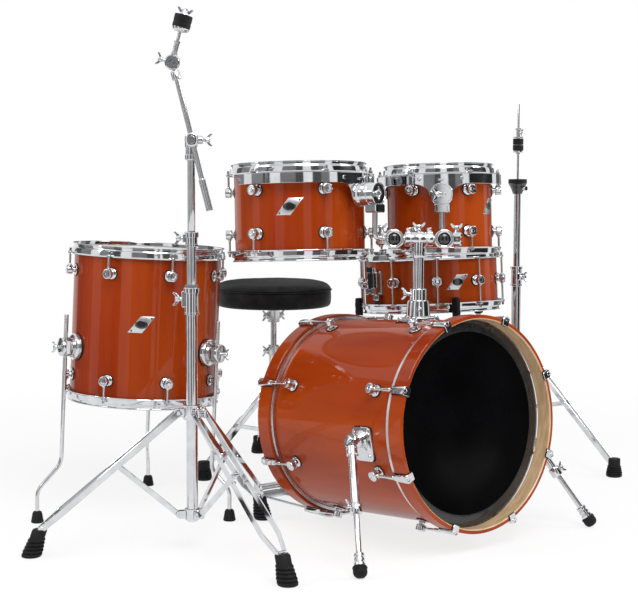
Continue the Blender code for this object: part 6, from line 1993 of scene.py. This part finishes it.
@dataclass
class HiHatStand:
    """The hi-hat stand: tripod, tubes, cup, pull rod with clutch and felts, and pedal."""

    shop: Workshop
    place: Vector = field(default_factory=lambda: Vector((0.809, 0.392, 0)))
    cup_low: float = 0.7775
    cup_high: float = 0.82
    rod_top: float = 1.034
    pedal_angle: float = radians(105.0)
    heel: float = 0.26

    def build(self) -> None:
        """Makes the whole stand."""
        Tripod(self.shop, "hihat_stand", self.place, (-75.0, 45.0, 165.0), 0.31, 0.35, 0.165, 0.012,
            (0.105, 0.562, 0.0127), 0.0101, (0.515, 0.572), 0.017, (0.0, -1.0)).build(["hihat_tripod"])
        base = moved(self.place)
        turn = base @ spun(self.pedal_angle)
        self.frame_parts(turn)
        tube = Forge().lathe(mm([(3.8, 440), (8.4, 440), (9.4, 441)]) + mm([(9.4, 4), (3.8, 4)], 0, self.cup_low),
            base, 36, loop=True)
        spot = self.place + UP * (self.cup_low + 0.016)
        tube.rod(spot + Vector((0, -0.01, 0)), spot + Vector((0, -0.024, 0)), 0.0032, 14)
        tube.lathe(mm([(0, 22), (6, 22), (6.8, 23.6), (6.8, 31.6), (6, 33), (0, 33.4)]),
            aimed(spot, (0, -1, 0), UP), 24)
        tube.shade = 1
        low, high = self.cup_low, self.cup_high
        tube.lathe(mm([(3.8, 1), (11.8, 0), (13.4, 1.6), (16, 10), (20, 19), (24.2, 26.2), (25, 28.4),
            (3.8, 28.8)], 0, low), base, 44, loop=True)
        tube.shade = 2
        tube.lathe(mm([(3.8, 28.8), (25, 28.8), (26.2, 30.4)], 0, low)
            + mm([(26.3, -2), (25, -0.4), (3.8, 0)], 0, high), base, 44, loop=True)
        self.shop.piece("hihat_tube_and_cup", tube, (CHROME, ENAMEL, FELT), "hihat_upper", ["hihat_tube"])
        self.rod(base)
        world = turn @ moved((self.heel, 0, 0.026))
        Footboard(self.shop, "hihat_footboard", "hihat_pedal", "hihat_pedal", world, self.heel - 0.03,
            0.056).build()

    def frame_parts(self, turn: Matrix) -> None:
        """Makes the yoke, rails and heel plate that carry the pedal.

        Args:
            turn: The pedal's frame, with X towards the heel.
        """
        forge = Forge()
        arch = mm([(-50, 0.6), (-42, 0.6), (-42, 90), (-34, 100), (34, 100), (42, 90), (42, 0.6), (50, 0.6),
            (50, 96), (38, 112), (-38, 112), (-50, 96)])
        forge.plate(arch, 0.015, turn @ columns((0, 1, 0), UP), 0.0014)
        forge.rod(turn @ Vector((0, 0, 0.099)), turn @ Vector((0, 0, 0.116)), 0.012, 28)
        for hand in (-1, 1):
            forge.strip([turn @ Vector((-0.004, hand * 0.046, 0.004)),
                turn @ Vector((self.heel + 0.023, hand * 0.046, 0.004))], 0.0076, 0.0058, turn.to_3x3() @ UP)
            forge.box((self.heel, hand * 0.044, 0.018), (0.023, 0.0054, 0.033), turn, 0.002)
            forge.lathe(mm([(0, 0), (5, 0), (5, 1.4), (3.6, 2.2), (0, 2.2)]),
                turn @ aimed((self.heel, hand * 0.0468, 0.026), (0, hand, 0), UP), 20)
        forge.box((self.heel, 0, 0.005), (0.049, 0.096, 0.009), turn, 0.003)
        forge.rod(turn @ Vector((self.heel, -0.045, 0.026)), turn @ Vector((self.heel, 0.045, 0.026)), 0.0029, 16)
        self.shop.piece("hihat_pedal_frame", forge, SATIN)

    def rod(self, base: Matrix) -> None:
        """Makes the pull rod with its clutch and felts.

        Args:
            base: The stand's frame.
        """
        rod = Forge().lathe(mm([(0, 620), (2.8, 620), (3.1, 620.6)])
            + mm([(3.1, -3), (2.2, 0), (0, 0)], 0, self.rod_top), base, 20)
        rod.lathe(mm([(0, 890), (5, 890), (5.8, 890.6), (5.8, 893.6), (5, 894.2), (5, 944), (5.8, 944.6),
            (5.8, 958), (7.8, 958.4), (8.2, 959.2), (8.2, 962.6), (7.4, 963.4), (0, 963.4)]), base, 28)
        rod.lathe(mm([(4.8, 894.6), (12, 894.6), (12.6, 895.6), (12.6, 899.6), (4.8, 899.8)]), base, 28, loop=True)
        rod.lathe(mm([(4.8, 935), (13, 935), (13.6, 936), (13.6, 939), (4.8, 939.4)]), base, 28, loop=True)
        spot = self.place + UP * 0.95
        rod.wing_bolt(columns(UP, (0, -1, 0), spot + Vector((0, -0.005, 0))), 0.7)
        rod.shade = 1
        for low, high, radius in ((0.9, 0.916, 0.015), (0.9168, 0.934, 0.0148)):
            rod.lathe([(0.0048, low), (radius - 0.0012, low), (radius, low + 0.0014), (radius, high - 0.0014),
                (radius - 0.0012, high), (0.0048, high)], base, 36, loop=True)
        self.shop.piece("hihat_rod_and_clutch", rod, (CHROME, FELT), "hihat_rod", ["hihat_rod"])


@dataclass
class BassPedal:
    """The bass drum pedal: frame, footboard and beater."""

    shop: Workshop
    axle: Vector = field(default_factory=lambda: Vector((0.0, 0.275, 0.2)))
    heel: float = 0.5
    toe: float = 0.27
    beater_length: float = 0.18
    beater_rest: float = radians(35.0)

    def build(self) -> None:
        """Makes the whole pedal."""
        self.frame()
        world = moved((0, self.heel, 0.026)) @ spun(pi / 2)
        Footboard(self.shop, "bass_pedal_footboard", "pedal_board", "pedal_board", world, self.heel - self.toe,
            0.074).build()
        self.beater()

    def frame(self) -> None:
        """Makes the base plate, the posts, the hoop clamp, the heel plate and the wires."""
        forge, flat = Forge(), HERE
        forge.box((0, 0.256, 0.0044), (0.104, 0.102, 0.008), flat, 0.008)
        for hand in (-1, 1):
            post = mm([(261, 2), (289, 2), (286, 60), (284, 180), (287, 196)])
            post += [(self.axle.y + 0.0125 * cos(a), self.axle.z + 0.003 + 0.013 * sin(a))
                for a in (pi * k / 10 for k in range(11))]
            post += mm([(263, 196), (266, 180), (264, 60)])
            forge.plate(post, 0.0076, columns((0, 1, 0), UP, (hand * 0.048, 0, 0)), 0.0014)
            forge.lathe(mm([(5.8, 0), (10.5, 0), (11, 0.8), (11, 2.2), (10, 3), (5.8, 3)]),
                aimed(self.axle + Vector((hand * 0.051, 0, 0)), (hand, 0, 0), UP), 28, loop=True)
            forge.box((hand * 0.0425, self.heel, 0.02), (0.0058, 0.023, 0.035), flat, 0.0016)
            forge.tube([Vector((hand * 0.03, 0.296, 0.0042)), Vector((hand * 0.03, 0.495, 0.0042))], 0.003, 14,
                Vector((1, 0, 0)))
            forge.lathe(mm([(0, 0), (4.6, 0), (4.6, 2), (3.4, 3), (0, 3)]), moved((hand * 0.04, 0.218, 0.008)), 6)
        jaw = mm([(215, 22.8), (248, 21.8), (249, 4), (262, 4), (262, 29), (258, 33), (219, 33), (215, 30)])
        forge.plate(jaw, 0.035, columns((0, 1, 0), UP), 0.0012)
        forge.wing_bolt(columns((1, 0, 0), UP, (0.0, 0.255, 0.033)), 0.9)
        forge.box((0, self.heel, 0.0048), (0.094, 0.05, 0.0084), flat, 0.006)
        forge.rod((-0.0412, self.heel, 0.026), (0.0412, self.heel, 0.026), 0.0029, 16)
        self.shop.piece("bass_pedal_frame", forge, SATIN, "kit_base", ["pedal_frame"])

    def beater(self) -> None:
        """Makes the axle with its cam, the beater's rod and its felt head."""
        forge = Forge().rod(self.axle - Vector((0.0518, 0, 0)), self.axle + Vector((0.0518, 0, 0)), 0.0049, 24)
        forge.lathe(mm([(0, -11), (11, -11), (12.8, -9.6), (12.8, -5), (11.2, -4), (11.2, 4), (12.8, 5),
            (12.8, 9.6), (11, 11), (0, 11)]), aimed(self.axle, (1, 0, 0), UP), 36)
        up = Vector((0, sin(self.beater_rest), cos(self.beater_rest)))
        ahead = Vector((0, -cos(self.beater_rest), sin(self.beater_rest)))
        tip = self.axle + up * self.beater_length
        forge.rod(self.axle + up * 0.005, tip - up * 0.01, 0.0034, 18)
        forge.box((0, 0, 0.013), (0.012, 0.012, 0.01), columns((1, 0, 0), up.cross(Vector((1, 0, 0))), self.axle),
            0.002)
        forge.rod(tip - ahead * 0.02, tip + ahead * 0.008, 0.012, 28)
        forge.shade = 1
        forge.lathe(mm([(0, -25), (20, -25), (23.2, -22.6), (24, -18), (24, 12), (23.2, 19), (20, 23.6),
            (12, 24.8), (0, 25)]), aimed(tip, ahead, up), 44)
        self.shop.piece("bass_beater", forge, (CHROME, FELT), "beater", ["pedal_beater"])


@dataclass
class Studio:
    """The white floor, the soft lamps and the camera of the photograph."""

    shift: Vector
    eye: tuple[float, float, float] = (-2.385, -2.511, 0.8184)
    heading: float = radians(-40.24)
    pitch: float = radians(4.61)
    roll: float = 0.0035
    lens: float = 84.78
    card_reach: float = 2.6
    card_height: float = 1.9
    card_angles: tuple[tuple[float, float, float], ...] = ((112.0, 128.0, 0.11), (128.0, 148.0, 0.28),
        (162.0, 180.0, 0.28), (180.0, 190.0, 0.11), (204.0, 224.0, 0.28), (224.0, 234.0, 0.11),
        (246.0, 258.0, 0.11), (258.0, 270.0, 0.28), (282.0, 334.0, 0.03), (348.0, 362.0, 0.11),
        (362.0, 382.0, 0.28), (34.0, 56.0, 0.28), (56.0, 74.0, 0.11))

    def build(self) -> None:
        """Makes the floor, the cards, the lights and the camera."""
        scene = bpy.context.scene
        scene.view_settings.view_transform = "Standard"
        self.floor()
        self.cards()
        self.world()
        self.lamps()
        camera = add_object("camera", bpy.data.cameras.new("camera"))
        camera.data.lens = self.lens
        camera.data.clip_start = 0.05
        turn = spun(self.heading) @ spun(pi / 2 - self.pitch, "X")
        place = moved(Vector(self.eye) + self.shift)
        camera.matrix_world = place @ turn @ spun(self.roll)
        scene.camera = camera

    def seen_rays(self, tree: bpy.types.NodeTree) -> bpy.types.NodeSocket:
        """Gives 1 for rays from the camera, mirrors and glass.

        Args:
            tree: The node tree.

        Returns:
            The socket with that value.
        """
        rays = tree.nodes.new("ShaderNodeLightPath").outputs
        seen = add_node(tree, "ShaderNodeMath", {0: rays["Is Camera Ray"], 1: rays["Is Glossy Ray"]},
            operation="MAXIMUM")
        clear = add_node(tree, "ShaderNodeMath", {0: seen.outputs[0], 1: rays["Is Transmission Ray"]},
            operation="MAXIMUM")
        return clear.outputs[0]

    def white_for(self, tree: bpy.types.NodeTree, lit: bpy.types.NodeSocket, target: bpy.types.NodeSocket,
            kind: str, share: bpy.types.NodeSocket) -> None:
        """Mixes plain white into what a ray gets.

        Args:
            tree: The node tree.
            lit: What it gets without that.
            target: The output's socket.
            kind: The type of the node that gives white.
            share: How much of it is white.
        """
        white = add_node(tree, kind, {"Color": (1, 1, 1, 1), "Strength": 1.0})
        mix = add_node(tree, "ShaderNodeMixShader", {"Fac": share, 1: lit, 2: white.outputs[0]})
        tree.links.new(mix.outputs[0], target)

    def matt(self, name: str, shade: float) -> tuple[bpy.types.Material, bpy.types.NodeTree, bpy.types.Node]:
        """Makes a matt grey.

        Args:
            name: Its name.
            shade: How bright it is.

        Returns:
            The material, its node tree and its shader.
        """
        made, tree, shader = new_material(name)
        fill(tree, shader, {"Base Color": (shade, shade, shade, 1), "Roughness": 0.9, "Specular IOR Level": 0.0})
        return made, tree, shader

    def floor(self) -> None:
        mesh = bpy.data.meshes.new("studio_floor")
        mesh.from_pydata([(-30, -30, 0), (30, -30, 0), (30, 30, 0), (-30, 30, 0)], [], [(0, 1, 2, 3)])
        floor = add_object("studio_floor", mesh)
        white, tree, shader = self.matt("studio_white", 0.95)
        coords = tree.nodes.new("ShaderNodeTexCoord").outputs["Object"]
        far = add_node(tree, "ShaderNodeVectorMath", {0: coords}, operation="LENGTH")
        fade = add_node(tree, "ShaderNodeMapRange", {"Value": far.outputs["Value"], "From Min": 0.9,
            "From Max": 2.4, "To Min": 0.78, "To Max": 1.0}, interpolation_type="SMOOTHSTEP")
        share = add_node(tree, "ShaderNodeMath", {0: fade.outputs["Result"], 1: self.seen_rays(tree)},
            operation="MULTIPLY")
        self.white_for(tree, shader.outputs["BSDF"], tree.nodes["Material Output"].inputs["Surface"],
            "ShaderNodeEmission", share.outputs[0])
        mesh.materials.append(white)

    def cards(self) -> None:
        for number, (first, last, shade) in enumerate(self.card_angles):
            steps, points = 8, []
            for k in range(steps + 1):
                out = polar(self.card_reach, radians(first + (last - first) * k / steps))
                points += [(out.x, out.y, 0.02), (out.x, out.y, self.card_height)]
            mesh = bpy.data.meshes.new(f"studio_card_{number}")
            mesh.from_pydata(points, [], [(2 * k, 2 * k + 2, 2 * k + 3, 2 * k + 1) for k in range(steps)])
            mesh.materials.append(self.matt(f"studio_card_{number}", shade)[0])
            card = add_object(f"studio_card_{number}", mesh)
            card.visible_camera = card.visible_diffuse = card.visible_shadow = False
            card.visible_transmission = card.visible_volume_scatter = False

    def world(self) -> None:
        """Makes the white surroundings."""
        world = bpy.data.worlds.new("studio_world")
        bpy.context.scene.world = world
        world.use_nodes = True
        tree = world.node_tree
        soft = tree.nodes["Background"]
        fill(tree, soft, {"Color": (1, 1, 1, 1), "Strength": 0.55})
        self.white_for(tree, soft.outputs["Background"], tree.nodes["World Output"].inputs["Surface"],
            "ShaderNodeBackground", self.seen_rays(tree))

    def lamps(self) -> None:
        """Hangs one wide lamp above the camera and one at each side."""
        for name, spot, aim, size, power in (("overhead_lamp", (-1.4, -2.6, 3.4), (0.1, 0.2, 0.5), 2.4, 95.0),
                ("left_lamp", (-3.2, 0.6, 1.8), (0.0, 0.3, 0.5), 1.6, 28.0),
                ("right_lamp", (2.4, -2.4, 1.9), (0.1, 0.3, 0.5), 1.6, 34.0)):
            light = bpy.data.lights.new(name, "AREA")
            light.shape, light.size, light.energy = "DISK", size, power
            lamp = add_object(name, light)
            lamp.matrix_world = aimed(Vector(spot), Vector(spot) - Vector(aim), (1, 0, 0))


def main(frame: dict) -> None:
    logging.basicConfig(level=logging.INFO, format="%(name)s: %(message)s")
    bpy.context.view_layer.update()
    seat_low, seat_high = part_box("throne_seat")
    shift = Vector(((seat_low.x + seat_high.x) / 2 - 0.234, (seat_low.y + seat_high.y) / 2 - 0.781, 0.0))
    shop = Workshop(moved(shift))
    bass = BassDrum(shop)
    bass.build()
    for side in (-1, 1):
        Spur(shop, bass, side).build()
    TomMount(shop).build(bass)
    for size in (TOM12, TOM10, SNARE, FLOOR_TOM):
        Drum(shop, size).build()
    TomBracket(shop, TOM12, radians(-78.0)).build()
    TomBracket(shop, TOM10, radians(-133.0)).build()
    SnareStand(shop, SNARE).build()
    FloorTomLegs(shop, FLOOR_TOM).build()
    Throne(shop).build()
    BoomStand(shop).build()
    HiHatStand(shop).build()
    BassPedal(shop).build()
    Studio(shift).build()


if __name__ == "__main__":
    main(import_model())
